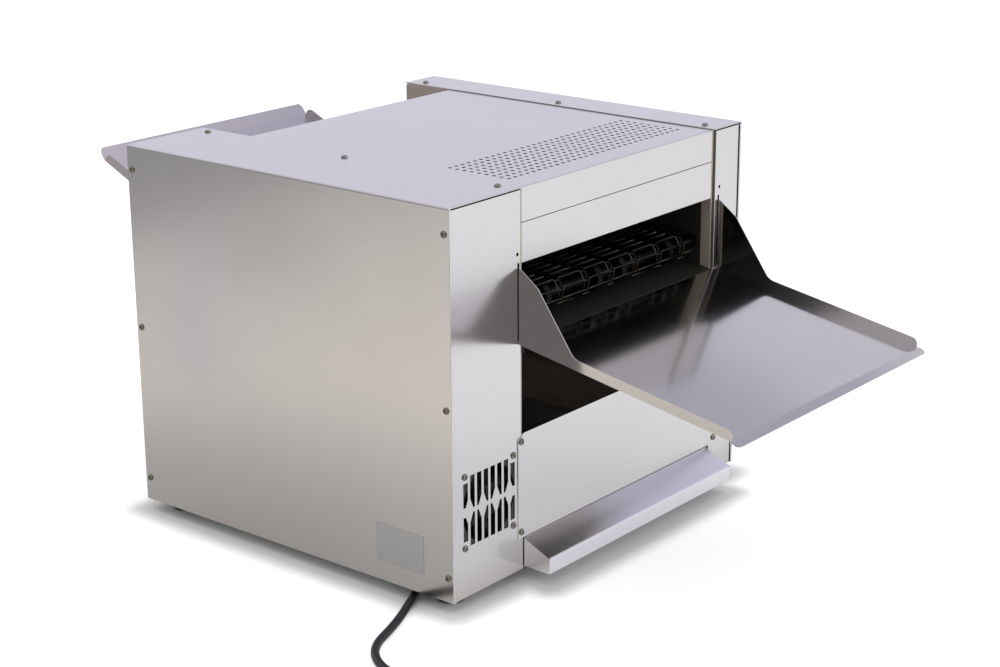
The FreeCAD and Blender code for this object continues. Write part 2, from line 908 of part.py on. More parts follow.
def make_belt():
    half = Vector(belt_width / 2.0, 0, 0)
    start = Vector(oven_center_x, rear_shaft.y, rear_shaft.z)
    wires = []
    for number in range(belt_wires):
        place = loop_point(start, shaft_span, belt_radius, (number + 0.5) * belt_pitch)
        wires.append(rod(place - half, X_AXIS, belt_wire_radius, belt_width))
    save("belt_wires", group(wires))
    outer = belt_radius - belt_wire_radius
    links = []
    for number in range(link_columns):
        offset = (number - (link_columns - 1) / 2.0) * link_pitch - link_width / 2.0
        at = start + Vector(offset, 0, 0)
        links.append(loop_band(at, shaft_span, outer, outer - link_thickness, link_width))
    save("belt_links", group(links))


def shaft_sprockets(center):
    wheels = []
    for offset in sprocket_offsets:
        start = Vector(oven_center_x + offset - sprocket_width / 2.0, center.y, center.z)
        bore = shaft_radius + shaft_fit
        wheels.append(valley_wheel(start, sprocket_teeth, belt_pitch, belt_wire_radius, wire_clearance, bore,
                                   sprocket_width))
    return group(wheels)


def make_shafts():
    left_end = wall_left_x - bearing_flange - bearing_boss
    drive_end = wall_right_x + chain_plane + wheel_width + 4.0
    idler_end = wall_right_x + bearing_flange + bearing_boss
    start = Vector(left_end, rear_shaft.y, rear_shaft.z)
    save("drive_shaft", rod(start, X_AXIS, shaft_radius, drive_end - left_end))
    start = Vector(left_end, front_shaft.y, front_shaft.z)
    save("idler_shaft", rod(start, X_AXIS, shaft_radius, idler_end - left_end))
    save("drive_sprockets", shaft_sprockets(rear_shaft))
    save("idler_sprockets", shaft_sprockets(front_shaft))
    bearings = []
    for center in (rear_shaft, front_shaft):
        for face_x, outward in ((oven_right_x, 1), (oven_left_x, -1)):
            bearings.append(bearing(Vector(face_x, center.y, center.z), Vector(outward, 0, 0)))
    save("shaft_bearings", group(bearings))


def bearing(start, outward):
    flange_at = start + outward * wall_sheet
    total = wall_sheet + bearing_flange + bearing_boss
    body = join([
        rod(start, outward, bearing_radius, total),
        rod(flange_at, outward, bearing_flange_radius, bearing_flange),
    ])
    return body.cut(rod(start - outward, outward, shaft_radius + shaft_fit, total + 2.0))


def make_rails():
    top_z = rear_shaft.z + belt_radius - belt_wire_radius - rail_gap
    rails = []
    for offset in rail_offsets:
        start = Vector(oven_center_x + offset, rear_shaft.y - rail_inset, top_z - rail_radius)
        rails.append(rod(start, Vector(0, -1, 0), rail_radius, shaft_span - 2.0 * rail_inset))
    bar_top_z = top_z - 2.0 * rail_radius
    half = cross_bar_width / 2.0
    for place in (cross_bar_inset, shaft_span - cross_bar_inset):
        y0 = rear_shaft.y - place - half
        y1 = y0 + cross_bar_width
        rails.append(block(oven_left_x, oven_right_x, y0, y1, bar_top_z - cross_bar_height, bar_top_z))
    save("belt_rails", group(rails))


def make_elements():
    tubes = []
    holders = []
    left_end = wall_left_x - element_holder_length - element_end
    right_end = wall_right_x + element_holder_length + element_end
    for center in element_points():
        start = Vector(left_end, center.y, center.z)
        tubes.append(rod(start, X_AXIS, element_radius, right_end - left_end))
        for face_x, outward in ((wall_right_x, 1), (wall_left_x, -1)):
            start = Vector(face_x, center.y, center.z)
            direction = Vector(outward, 0, 0)
            bore = element_radius + element_fit
            holders.append(tube_ring(start, direction, element_holder_radius, bore, element_holder_length))
    save("heating_elements", group(tubes))
    save("element_holders", group(holders))


def make_reflector():
    x0 = oven_left_x + seam / 2.0
    x1 = oven_right_x - seam / 2.0
    y0 = rear_y - reflector_start
    y1 = rear_y - reflector_end
    z = cover_bottom_z + reflector_height
    plate = [block(x0, x1, y1, y0, z, z + sheet)]
    for side_x, inward in ((x0, 1), (x1, -1)):
        plate.append(block(side_x, side_x + inward * sheet, y1, y0, z, z + reflector_flange))
    save("upper_reflector", join(plate))


def make_chute():
    x0 = oven_left_x + seam / 2.0
    x1 = oven_right_x - seam / 2.0
    rise = math.tan(math.radians(chute_slope))
    z0 = chute_z + chute_start * rise
    z1 = chute_z + chute_end * rise
    y0 = rear_y - chute_start
    y1 = rear_y - chute_end
    line = [(y1, z1 - chute_drop), (y1, z1), (y0, z0)]
    chute = [prism_x(folded_sheet(line, sheet, sheet_bend), x0, x1)]
    side = [
        (y0, z0 - sheet),
        (y0, z0 - chute_flange),
        (y1 + sheet, z1 - chute_drop),
        (y1 + sheet, z1 - 3.0 * sheet),
    ]
    for side_x, inward in ((x0, 1), (x1, -1)):
        chute.append(prism_x(side, side_x, side_x + inward * sheet))
    save("discharge_chute", join(chute))


def hook(x, face_y, into, low_z, high_z):
    catch_y = face_y + into * (sheet + 2.0 * tray_gap)
    deep_y = catch_y + into * hook_depth
    outline = [
        (face_y, low_z),
        (catch_y, low_z),
        (catch_y, low_z - hook_drop),
        (deep_y, low_z - hook_drop, 2.0),
        (deep_y, high_z - hook_depth * 2.0, 3.0),
        (catch_y, high_z, 2.0),
        (face_y, high_z),
    ]
    half = sheet / 2.0
    return prism_x(outline, x - half, x + half)


def round_lip(x0, x1, end_y, z, corner):
    # Cutters for the two outer corners of a lip that ends at end_y
    cutters = []
    into = corner if end_y < rear_y else -corner
    for x, inward in ((x0, corner), (x1, -corner)):
        square = block(x - inward, x + inward, end_y - into, end_y + into, z - 2 * corner, z + 2 * corner)
        center = Vector(x + inward, end_y + into, z - 2 * corner)
        cutters.append(square.cut(rod(center, Z_AXIS, corner, 4 * corner)))
    return Part.makeCompound(cutters)


def make_discharge_tray():
    slope = math.radians(tray_slope)
    bend = math.radians(tray_slope + tray_lip_bend)
    face_y = column_y + tray_gap
    edge_y = rear_y + tray_gap
    half = sheet / 2.0
    x0 = wing_left_x - half
    x1 = wing_right_x + half

    def floor_z(reach):
        return chute_z - tray_edge_step - reach * math.tan(slope)

    lip_y = rear_y + tray_reach
    lip_z = floor_z(tray_reach)
    end_y = lip_y + tray_lip * math.cos(bend)
    end_z = lip_z - tray_lip * math.sin(bend)
    line = [(edge_y, floor_z(tray_gap)), (lip_y, lip_z), (end_y, end_z)]
    floor = prism_x(folded_sheet(line, sheet, sheet_bend), x0, x1)
    lip_line = [(lip_y, lip_z), (end_y, end_z)]
    lip = prism_x(folded_sheet(lip_line, sheet, 0.0), x0 - tray_lip_extra, x1 + tray_lip_extra)
    corners = round_lip(x0 - tray_lip_extra, x1 + tray_lip_extra, end_y, end_z, tray_lip_corner)
    low_z = cover_bottom_z + slot_bottom + tray_gap
    rise = tray_flange / math.cos(slope)
    wing = [
        (face_y, floor_z(0) - sheet),
        (face_y, cover_bottom_z + wing_top),
        (rear_y + wing_flat, cover_bottom_z + wing_top),
        (rear_y + wing_knee_reach, cover_bottom_z + wing_knee_height, wing_knee_round),
        (rear_y + wing_foot_reach, floor_z(wing_foot_reach) + rise, wing_foot_round),
        (rear_y + tray_flange_end, floor_z(tray_flange_end) + rise, tray_end_round),
        (rear_y + tray_flange_end, floor_z(tray_flange_end) - sheet),
    ]
    pieces = [floor.cut(corners), lip.cut(corners)]
    for x in (wing_left_x, wing_right_x):
        pieces.append(prism_x(wing, x - half, x + half))
        pieces.append(hook(x, face_y, -1, low_z, cover_bottom_z + hook_top))
    save("discharge_tray", join(pieces))


def feed_level(reach):
    return cover_bottom_z + feed_edge_height + reach * math.tan(math.radians(feed_slope))


def make_feed_tray():
    slope = math.radians(feed_slope)
    bend = math.radians(feed_slope + feed_lip_bend)
    face_y = front_y + sheet - tray_gap
    x0 = oven_left_x + feed_side_gap
    x1 = oven_right_x - feed_side_gap
    flat_z = cover_bottom_z + feed_flat_height
    inner_y = front_y + feed_inner_reach
    knee_y = front_y - (feed_flat_height - feed_edge_height) / math.tan(slope)
    lip_y = front_y - feed_reach
    lip_z = feed_level(feed_reach)
    end_y = lip_y - feed_lip * math.cos(bend)
    end_z = lip_z + feed_lip * math.sin(bend)
    line = [(end_y, end_z), (lip_y, lip_z), (knee_y, flat_z), (inner_y, flat_z)]
    floor = prism_x(folded_sheet(line, sheet, sheet_bend), x0, x1)
    floor = floor.cut(round_lip(x0, x1, end_y, end_z, feed_lip_corner))
    rise = feed_flange / math.cos(slope)
    flange = [
        (inner_y, flat_z - sheet),
        (inner_y, flat_z + feed_flange, feed_flange / 2.0),
        (knee_y, flat_z + feed_flange),
        (front_y - feed_flange_end, feed_level(feed_flange_end) + rise, feed_end_round),
        (front_y - feed_flange_end, feed_level(feed_flange_end) - sheet),
        (knee_y, flat_z - sheet),
    ]
    pieces = [floor]
    ear_low = cover_bottom_z + feed_ear_bottom
    ear_high = cover_bottom_z + feed_ear_top
    low_z = cover_bottom_z + feed_slot_bottom + tray_gap
    high_z = cover_bottom_z + feed_hook_top
    half = sheet / 2.0
    for side_x, inward, hook_x in ((x0, 1, feed_left_hook_x), (x1, -1, feed_right_hook_x)):
        pieces.append(prism_x(flange, side_x, side_x + inward * sheet))
        far_x = hook_x - inward * half
        pieces.append(block(side_x + inward * sheet, far_x, face_y - sheet, face_y, ear_low, ear_high))
        pieces.append(hook(hook_x, face_y, 1, low_z, high_z))
    save("feed_tray", join(pieces))


def make_crumb_tray():
    x0 = oven_left_x + crumb_side_gap
    x1 = oven_right_x - crumb_side_gap
    low_z = pan_top_z + crumb_lift
    inner_y = rear_y - crumb_reach
    top_z = cover_bottom_z + ledge_top
    front_top_z = cover_bottom_z + ledge_front_top
    bottom_z = cover_bottom_z + ledge_front_bottom
    back_y = rear_y - sheet
    lip_y = rear_y + ledge_reach
    tray = [block(x0, x1, inner_y, rear_y, low_z, low_z + sheet)]
    tray.append(block(x0, x1, inner_y, inner_y + sheet, low_z, low_z + crumb_wall))
    tray.append(block(x0, x1, back_y, rear_y, low_z, top_z))
    hood_line = [(back_y, top_z), (lip_y, front_top_z), (lip_y, bottom_z)]
    tray.append(prism_x(folded_sheet(hood_line, sheet, sheet_bend), x0, x1))
    end = [(back_y, top_z), (lip_y, front_top_z), (lip_y, bottom_z), (back_y, low_z)]
    for side_x, inward in ((x0, 1), (x1, -1)):
        tray.append(block(side_x, side_x + inward * sheet, inner_y, rear_y, low_z, low_z + crumb_wall))
        tray.append(prism_x(end, side_x, side_x + inward * sheet))
    save("crumb_tray", join(tray))
    rails = []
    z0 = cover_bottom_z + rail_height
    for side_x, inward in ((oven_left_x, 1), (oven_right_x, -1)):
        y0 = rear_y - rail_front
        y1 = rear_y - rail_rear
        leg = block(side_x, side_x + inward * sheet, y0, y1, z0, z0 + rail_leg)
        rails.append(join([leg, block(side_x, side_x + inward * rail_shelf, y0, y1, z0, z0 + sheet)]))
    save("crumb_tray_rails", group(rails))


def make_fan():
    center_x = right_x - fan_inset
    center_z = cover_bottom_z + fan_center_height
    face_y = column_y - sheet
    half = fan_size / 2.0
    deep_y = face_y - fan_depth
    frame = block(center_x - half, center_x + half, deep_y, face_y, center_z - half, center_z + half)
    bore_at = Vector(center_x, deep_y - 1.0, center_z)
    frame = frame.cut(rod(bore_at, Y_AXIS, fan_bore_radius, fan_depth + 2.0))
    stator = [rod(Vector(center_x, deep_y, center_z), Y_AXIS, fan_hub_radius, fan_stator_depth)]
    rim = fan_bore_radius + 1.0
    strut_y = deep_y + fan_strut_depth
    for wide, high in ((rim, fan_strut / 2.0), (fan_strut / 2.0, rim)):
        x0 = center_x - wide
        x1 = center_x + wide
        stator.append(block(x0, x1, deep_y, strut_y, center_z - high, center_z + high))
    frame = join([frame] + stator)
    axle_at = Vector(center_x, deep_y - 1.0, center_z)
    axle = rod(axle_at, Y_AXIS, fan_axle_radius + shaft_fit, fan_depth)
    save("fan_frame", drill(frame.cut(axle), fan_screws(), 12.0))
    hub_y = deep_y + fan_stator_depth + fan_hub_gap
    hub_length = face_y - fan_face_gap - hub_y
    hub_at = Vector(center_x, hub_y, center_z)
    rotor = [rod(hub_at, Y_AXIS, fan_hub_radius, hub_length)]
    axle_at = Vector(center_x, deep_y + 1.0, center_z)
    rotor.append(rod(axle_at, Y_AXIS, fan_axle_radius, fan_stator_depth + 1.0))
    tip = fan_bore_radius - fan_tip_gap
    root_x = center_x + fan_hub_radius - fan_blade_root
    blade_y0 = hub_y + fan_blade_inset
    blade_y1 = hub_y + hub_length - fan_blade_inset
    blade_z = center_z - fan_blade_thickness / 2.0
    mid = hub_at + Y_AXIS * (hub_length / 2.0)
    for number in range(fan_blades):
        blade_top_z = blade_z + fan_blade_thickness
        blade = block(root_x, center_x + tip, blade_y0, blade_y1, blade_z, blade_top_z)
        blade.rotate(mid, X_AXIS, fan_blade_pitch)
        blade = blade.common(rod(hub_at, Y_AXIS, tip, hub_length))
        blade.rotate(mid, Y_AXIS, number * 360.0 / fan_blades)
        rotor.append(blade)
    save("fan_rotor", join(rotor))


def make_drive():
    chain_x = wall_right_x + chain_plane
    wheel_at = Vector(chain_x, rear_shaft.y, rear_shaft.z)
    motor_at = Vector(chain_x, motor_axis.y, motor_axis.z)
    shaft_bore = shaft_radius + shaft_fit
    motor_bore = motor_shaft_radius + shaft_fit
    for name, at, bore in (("chain_wheel", wheel_at, shaft_bore), ("motor_wheel", motor_at, motor_bore)):
        wheel = valley_wheel(at, chain_teeth, chain_pitch, chain_roller_radius, roller_clearance, bore,
                             wheel_width)
        save(name, wheel)
    roller_x = Vector(-wheel_side_gap, 0, 0)
    roller_length = wheel_width + 2.0 * wheel_side_gap
    chain = []
    for number in range(2 * chain_span_links + chain_teeth):
        place = loop_point(wheel_at, chain_span, chain_radius, (number + 0.5) * chain_pitch)
        chain.append(rod(place + roller_x, X_AXIS, chain_roller_radius, roller_length))
    outer = chain_radius + chain_plate_half
    inner = chain_radius - chain_plate_half
    for x in (chain_x - wheel_side_gap - chain_plate, chain_x - wheel_side_gap + roller_length):
        at = Vector(x, rear_shaft.y, rear_shaft.z)
        chain.append(loop_band(at, chain_span, outer, inner, chain_plate))
    save("drive_chain", group(chain))
    make_motor(motor_at)


def make_motor(axis):
    plate_x = wall_right_x + motor_standoff
    half = motor_plate_size / 2.0
    body_x = plate_x + motor_plate
    plate = block(plate_x, body_x, axis.y - half, axis.y + half, axis.z - half, axis.z + half)
    hole_at = Vector(plate_x - 1.0, axis.y, axis.z)
    bracket = [plate.cut(rod(hole_at, X_AXIS, motor_plate_hole, motor_plate + 2.0))]
    for across in (-0.5, 0.5):
        for up in (-0.5, 0.5):
            y = axis.y + across * motor_post_pitch
            z = axis.z + up * motor_post_pitch
            bracket.append(rod(Vector(wall_right_x, y, z), X_AXIS, motor_post_radius, motor_standoff))
    save("motor_bracket", join(bracket))
    length, deep, high = motor_body
    y = axis.y - deep / 2.0
    z = axis.z - high / 2.0
    motor = [block(body_x, body_x + length, y, y + deep, z, z + high)]
    motor.append(rod(Vector(body_x + length, axis.y, axis.z), X_AXIS, motor_can_radius, motor_can_length))
    save("gear_motor", join(motor))
    tip = axis - X_AXIS * motor_shaft_tip
    shaft_length = body_x - motor_shaft_gap - tip.x
    save("motor_shaft", rod(tip, X_AXIS, motor_shaft_radius, shaft_length))


def knob(back):
    toward = Vector(0, -1, 0)
    body = rod(back, toward, knob_radius, knob_depth)
    flutes = []
    for number in range(knob_flutes):
        angle = (number + 0.5) * 2.0 * math.pi / knob_flutes
        aside = Vector(math.sin(angle), 0, math.cos(angle)) * knob_radius
        flutes.append(rod(back + toward * knob_skirt + aside, toward, knob_flute_radius, knob_depth))
    skirt = rod(back, toward, knob_skirt_radius, knob_skirt)
    body = join([body.cut(Part.makeCompound(flutes)), skirt])
    end_y = back.y - knob_depth
    x0 = back.x - pointer_width / 2.0
    z0 = back.z + knob_radius * pointer_start
    mark = block(x0, x0 + pointer_width, end_y - 1.0, end_y + pointer_depth, z0, back.z + knob_skirt_radius)
    inside = back - toward
    socket = rod(inside, toward, spindle_radius + spindle_fit, knob_socket + 1.0)
    collar = rod(inside, toward, bush_radius + bush_gap, knob_collar + 1.0)
    return body.cut(Part.makeCompound([mark, socket, collar]))


def make_controls():
    face_y = front_y + sheet
    back_y = face_y + sheet
    end_y = back_y + spindle_reach
    half = heat_body_size / 2.0
    for name, height in (("speed", speed_knob_height), ("heat", heat_knob_height)):
        center = Vector(controls_x, face_y, cover_bottom_z + height)
        knob_back = center - Y_AXIS * knob_gap
        save(name + "_knob", knob(knob_back))
        tip = knob_back - Y_AXIS * (knob_socket - spindle_end_gap)
        save(name + "_spindle", rod(tip, Y_AXIS, spindle_radius, end_y - tip.y))
        bush = rod(center - Y_AXIS * bush_rise, Y_AXIS, bush_radius, bush_rise + sheet)
        if name == "speed":
            body = rod(center + Y_AXIS * sheet, Y_AXIS, control_body_radius, control_body_depth)
        else:
            x0 = center.x - half
            z0 = center.z - half
            body = block(x0, x0 + heat_body_size, back_y, back_y + heat_body_depth, z0, z0 + heat_body_size)
        mouth = center - Y_AXIS * (bush_rise + 1.0)
        bore_length = end_y + spindle_end_gap - mouth.y
        bore = rod(mouth, Y_AXIS, spindle_radius + spindle_fit, bore_length)
        save(name + "_control", join([bush, body]).cut(bore))
    make_switch()
    z = cover_bottom_z + lamp_height
    front = Vector(controls_x, face_y - lamp_rise, z)
    bezel_at = Vector(controls_x, face_y - lamp_bezel, z)
    body = rod(front, Y_AXIS, lamp_radius, lamp_rise + lamp_depth)
    lamp = join([body, rod(bezel_at, Y_AXIS, lamp_bezel_radius, lamp_bezel)])
    rims = [edge for edge in lamp.Edges if abs(edge.CenterOfMass.y - front.y) < 0.01]
    save("pilot_lamp", lamp.makeFillet(lamp_round, rims))


def make_switch():
    face_y = front_y + sheet
    z = cover_bottom_z + rocker_height
    half_w = switch_width / 2.0
    half_l = switch_length / 2.0
    neck_w = half_w - switch_bezel
    neck_l = half_l - switch_bezel
    open_w = half_w - rocker_margin
    open_l = half_l - rocker_margin
    front = face_y - switch_bezel
    layers = []
    for wide, high, y0, y1 in (
        (half_w, half_l, front, face_y),
        (neck_w, neck_l, face_y, face_y + switch_depth),
        (open_w, open_l, front - 1.0, face_y + switch_mouth),
    ):
        layers.append(block(controls_x - wide, controls_x + wide, y0, y1, z - high, z + high))
    rim, body, mouth = layers
    save("power_switch", join([rim, body]).cut(mouth))
    pivot = Vector(controls_x, face_y + rocker_pivot_depth, z)
    swing = open_l - rocker_gap
    wide = open_w - rocker_gap
    crest = pivot.y - rocker_face_rise
    flare = swing * math.tan(math.radians(rocker_travel / 2.0))
    outline = [
        (pivot.y + rocker_back, z - swing),
        (pivot.y + rocker_back, z + swing),
        (crest - flare, z + swing),
        (crest, z),
        (crest - flare, z - swing),
    ]
    barrel = rod(pivot - Vector(wide, 0, 0), X_AXIS, swing, 2.0 * wide)
    rocker = prism_x(outline, controls_x - wide, controls_x + wide).common(barrel)
    rocker.rotate(pivot, X_AXIS, -rocker_travel / 2.0)
    save("switch_rocker", rocker)


def make_electrics():
    x0 = wall_right_x
    long_x, deep, high = contactor_size
    y = rear_y - contactor_place[0]
    z = cover_bottom_z + contactor_place[1]
    ear = contactor_ear
    step_z = high * contactor_step
    body = block(x0, x0 + long_x, y - deep, y, z, z + high)
    base = block(x0, x0 + contactor_base, y - deep - ear, y + ear, z + step_z, z + high - step_z)
    save("contactor", join([body, base]))
    make_board()
    long_x, deep, high = terminal_size
    x = wall_right_x + wall_foot_flange + terminal_gap
    y = rear_y - terminal_place
    strip = block(x, x + long_x, y - deep, y, pan_top_z, pan_top_z + high)
    wells = []
    for way in range(terminal_ways):
        well_x = x + long_x * (way + 0.5) / terminal_ways
        for share in (0.25, 0.75):
            well_at = Vector(well_x, y - deep * share, pan_top_z + high * 0.5)
            wells.append(rod(well_at, Z_AXIS, terminal_well, high))
    save("terminal_block", strip.cut(Part.makeCompound(wells)))
    y = rear_y - cutout_place[0]
    z = cover_bottom_z + cutout_place[1]
    disc = rod(Vector(x0, y, z), X_AXIS, cutout_radius, cutout_depth)
    long_y, high, thick = cutout_ears
    ears = block(x0, x0 + thick, y - long_y / 2.0, y + long_y / 2.0, z - high / 2.0, z + high / 2.0)
    save("thermal_cutout", join([disc, ears]))


def make_board():
    deep, high = board_size
    y = rear_y - board_place[0]
    z = cover_bottom_z + board_place[1]
    board_x = wall_right_x + board_standoff
    part_x = board_x + board_thickness
    board = [block(board_x, part_x, y - deep, y, z, z + high)]
    inset = board_post_inset
    for post_y in (y - deep + inset, y - inset):
        for post_z in (z + inset, z + high - inset):
            post_at = Vector(wall_right_x, post_y, post_z)
            board.append(rod(post_at, X_AXIS, board_post_radius, board_standoff))
    long_x, long_y, tall = transformer_size
    y0 = y - transformer_place[0]
    z0 = z + transformer_place[1]
    board.append(block(part_x, part_x + long_x, y0 - long_y, y0, z0, z0 + tall))
    can_at = Vector(part_x, y - capacitor_place[0], z + capacitor_place[1])
    board.append(rod(can_at, X_AXIS, capacitor_radius, capacitor_height))
    save("speed_board", join(board))


def make_plate():
    long_y, high = plate_size
    y = rear_y - plate_place[0]
    z = cover_bottom_z + plate_place[1]
    save("rating_plate", block(right_x, right_x + plate_thickness, y - long_y, y, z, z + high))


def make_cord_entry():
    x0 = right_x - well_outer + sheet
    x1 = right_x - well_inner - sheet
    y0 = rear_y - well_rear + sheet
    y1 = rear_y - well_front - sheet
    hood = block(x0, x1, y0, y1, pan_top_z, well_top)
    room = block(x0 - sheet, x1 + sheet, y0 - sheet, y1 + sheet, pan_top_z - 1.0, well_top - sheet)
    wall_x = right_x - well_inner
    center = Vector(wall_x, rear_y - gland_inset, gland_height)
    hole = rod(center - X_AXIS * (cut_reach / 2.0), X_AXIS, gland_hole_radius, cut_reach)
    save("cord_well", hood.cut(room).cut(hole))
    gland = [rod(center - Vector(sheet + gland_nut, 0, 0), X_AXIS, gland_radius, gland_nut)]
    gland.append(rod(center - Vector(sheet, 0, 0), X_AXIS, gland_thread_radius, sheet))
    gland.append(rod(center, X_AXIS, gland_radius, gland_collar))
    dome_at = center + X_AXIS * gland_collar
    gland.append(Part.makeCone(gland_dome_radius, gland_tip_radius, gland_dome, dome_at, X_AXIS))
    gland_reach = gland_collar + gland_dome
    bore = rod(center - X_AXIS * gland_reach, X_AXIS, gland_bore_radius, 2.0 * gland_reach + 1.0)
    save("cord_gland", join(gland).cut(bore))


# Route of the cord from its gland: distance in from the right side (negative is beyond it),
# distance in front of the rear face (negative is behind it) and height. Chosen by hand.
cord_route = [
    (66.0, 65.0, 24.0),
    (51.0, 65.0, 24.0),
    (35.4, 63.6, 18.9),
    (22.4, 60.8, 9.2),
    (7.8, 54.9, 4.3),
    (-14.0, 44.8, 4.3),
    (-37.2, 33.0, 4.3),
    (-65.0, 21.8, 4.3),
    (-95.4, 11.9, 4.3),
    (-115.3, -4.8, 4.3),
    (-127.5, -27.8, 4.3),
    (-130.2, -53.7, 4.3),
    (-123.0, -78.7, 4.3),
    (-108.1, -97.5, 4.3),
]


def route_points():
    return [Vector(right_x - inset, rear_y - front, height) for inset, front, height in cord_route]


def cord_path(points):
    edges = []
    radii = []
    start = points[0]
    for back, here, ahead in zip(points, points[1:], points[2:]):
        turn = math.pi - (back - here).getAngle(ahead - here)
        shorter = min(here.distanceToPoint(back), here.distanceToPoint(ahead))
        radius = 0.45 * shorter / math.tan(turn / 2.0)
        radii.append(radius)
        first, middle, last = corner_arc(back, here, ahead, radius)
        edges.append(Part.LineSegment(start, first).toShape())
        edges.append(Part.Arc(first, middle, last).toShape())
        start = last
    edges.append(Part.LineSegment(start, points[-1]).toShape())
    return Part.Wire(edges), radii


def cord_tube(path, start, direction):
    circle = Part.Wire(Part.makeCircle(cord_radius, start, direction))
    return path.makePipeShell([circle], True, False)


def arc_middle(start, heading, end):
    # Middle of the arc that leaves the start along the heading
    chord = end - start
    angle = heading.getAngle(chord)
    away = heading - chord * (heading.dot(chord) / chord.dot(chord))
    away.normalize()
    return start + chord * 0.5 + away * (chord.Length / 2.0 * math.tan(angle / 2.0))


def half_turn(start, heading, radius, climb):
    side = heading.cross(Z_AXIS)
    end = start + side * (2.0 * radius) + Vector(0, 0, climb)
    top = (start + end) * 0.5 + heading * (start.distanceToPoint(end) / 2.0)
    leaving = Part.Arc(start, arc_middle(start, heading, top), top).toShape()
    arriving = Part.Arc(top, arc_middle(end, heading, top), end).toShape()
    return [leaving, arriving], end


def coil_edges(start, heading):
    first = start + heading * coil_end
    edges = [Part.LineSegment(start, first).toShape()]
    inward = [(coil_radius - coil_step * number, 0.0) for number in range(coil_half_turns)]
    climb = [(coil_radius - coil_step * coil_half_turns, coil_layer)]
    here = first
    for radius, rise in inward + climb + inward[::-1]:
        pieces, here = half_turn(here, heading, radius, rise)
        edges += pieces
        heading = heading * -1.0
    end = here + heading * coil_exit
    edges.append(Part.LineSegment(here, end).toShape())
    return edges, end, heading


def least_gap(edges):
    points = []
    for edge in edges:
        points += edge.discretize(Distance=gap_step)[:-1]
    apart = int(coil_radius / gap_step)
    nearest = coil_radius
    for number, here in enumerate(points):
        for there in points[number + apart:]:
            nearest = min(nearest, here.distanceToPoint(there))
    return nearest - 2.0 * cord_radius


def make_cord():
    points = route_points()
    path, radii = cord_path(points)
    tube = cord_tube(path, points[0], points[1] - points[0])
    heading = points[-1] - points[-2]
    heading.normalize()
    edges, end, end_heading = coil_edges(points[-1], heading)
    coil_path = Part.Wire(edges)
    coil = cord_tube(coil_path, points[-1], heading)
    save("power_cord", tube)
    save("cord_coil", coil)
    section = math.pi * cord_radius ** 2
    print("cord radii", ["%.0f" % radius for radius in radii])
    print("cord volume %.0f, section times length %.0f" % (tube.Volume, section * path.Length))
    print("coil volume %.0f, section times length %.0f" % (coil.Volume, section * coil_path.Length))
    print("coil least gap to itself %.2f" % least_gap(edges))
    print("cord length %.0f" % (path.Length + coil_path.Length))
    make_plug(end, end_heading)


def make_plug(start, along):
    relief = Part.makeCone(plug_relief_tip, plug_relief_root, plug_relief, start, along)
    across = Z_AXIS.cross(along)
    body_at = start + along * plug_relief
    end = body_at + along * plug_length
    half_w = plug_width / 2.0
    half_h = plug_height / 2.0
    corners = []
    for side, up in ((-half_w, -half_h), (half_w, -half_h), (half_w, half_h), (-half_w, half_h)):
        corners.append((body_at + across * side + Z_AXIS * up, plug_round))
    pieces = [relief, outline_face(corners).extrude(along * plug_length)]
    thick, high, reach = plug_blade
    low = Z_AXIS * (plug_ground_drop / 2.0 - high / 2.0)
    for side in (-0.5, 0.5):
        at = end + across * (side * plug_blade_pitch - thick / 2.0) + low
        beside = at + across * thick
        corners = [(at, 0.0), (beside, 0.0), (beside + Z_AXIS * high, 0.0), (at + Z_AXIS * high, 0.0)]
        pieces.append(outline_face(corners).extrude(along * reach))
    ground_at = end - Z_AXIS * plug_ground_drop
    pieces.append(rod(ground_at, along, plug_ground_radius, plug_ground_length))
    save("power_plug", join(pieces))


def make_fasteners():
    cover = [make_screw(place, screw_grip) for place in side_screws() + strip_screws()]
    save("cover_screws", group(cover))
    rear = [make_screw(place, screw_grip) for place in lower_panel_screws() + fan_screws()]
    save("rear_screws", group(rear))


def main():
    os.makedirs("parts", exist_ok=True)
    make_base_pan()
    make_feet()
    make_inner_walls()
    make_side_covers()
    make_top_panel()
    make_headers()
    make_rear_columns()
    make_lower_panels()
    make_front_columns()
    make_chute()
    make_reflector()
    make_elements()
    make_rails()
    make_belt()
    make_shafts()
    make_drive()
    make_fan()
    make_discharge_tray()
    make_feed_tray()
    make_crumb_tray()
    make_controls()
    make_electrics()
    make_plate()
    make_cord_entry()
    make_cord()
    make_fasteners()


main()
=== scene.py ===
import math

import bmesh
import bpy
from mathutils import Matrix, Quaternion, Vector


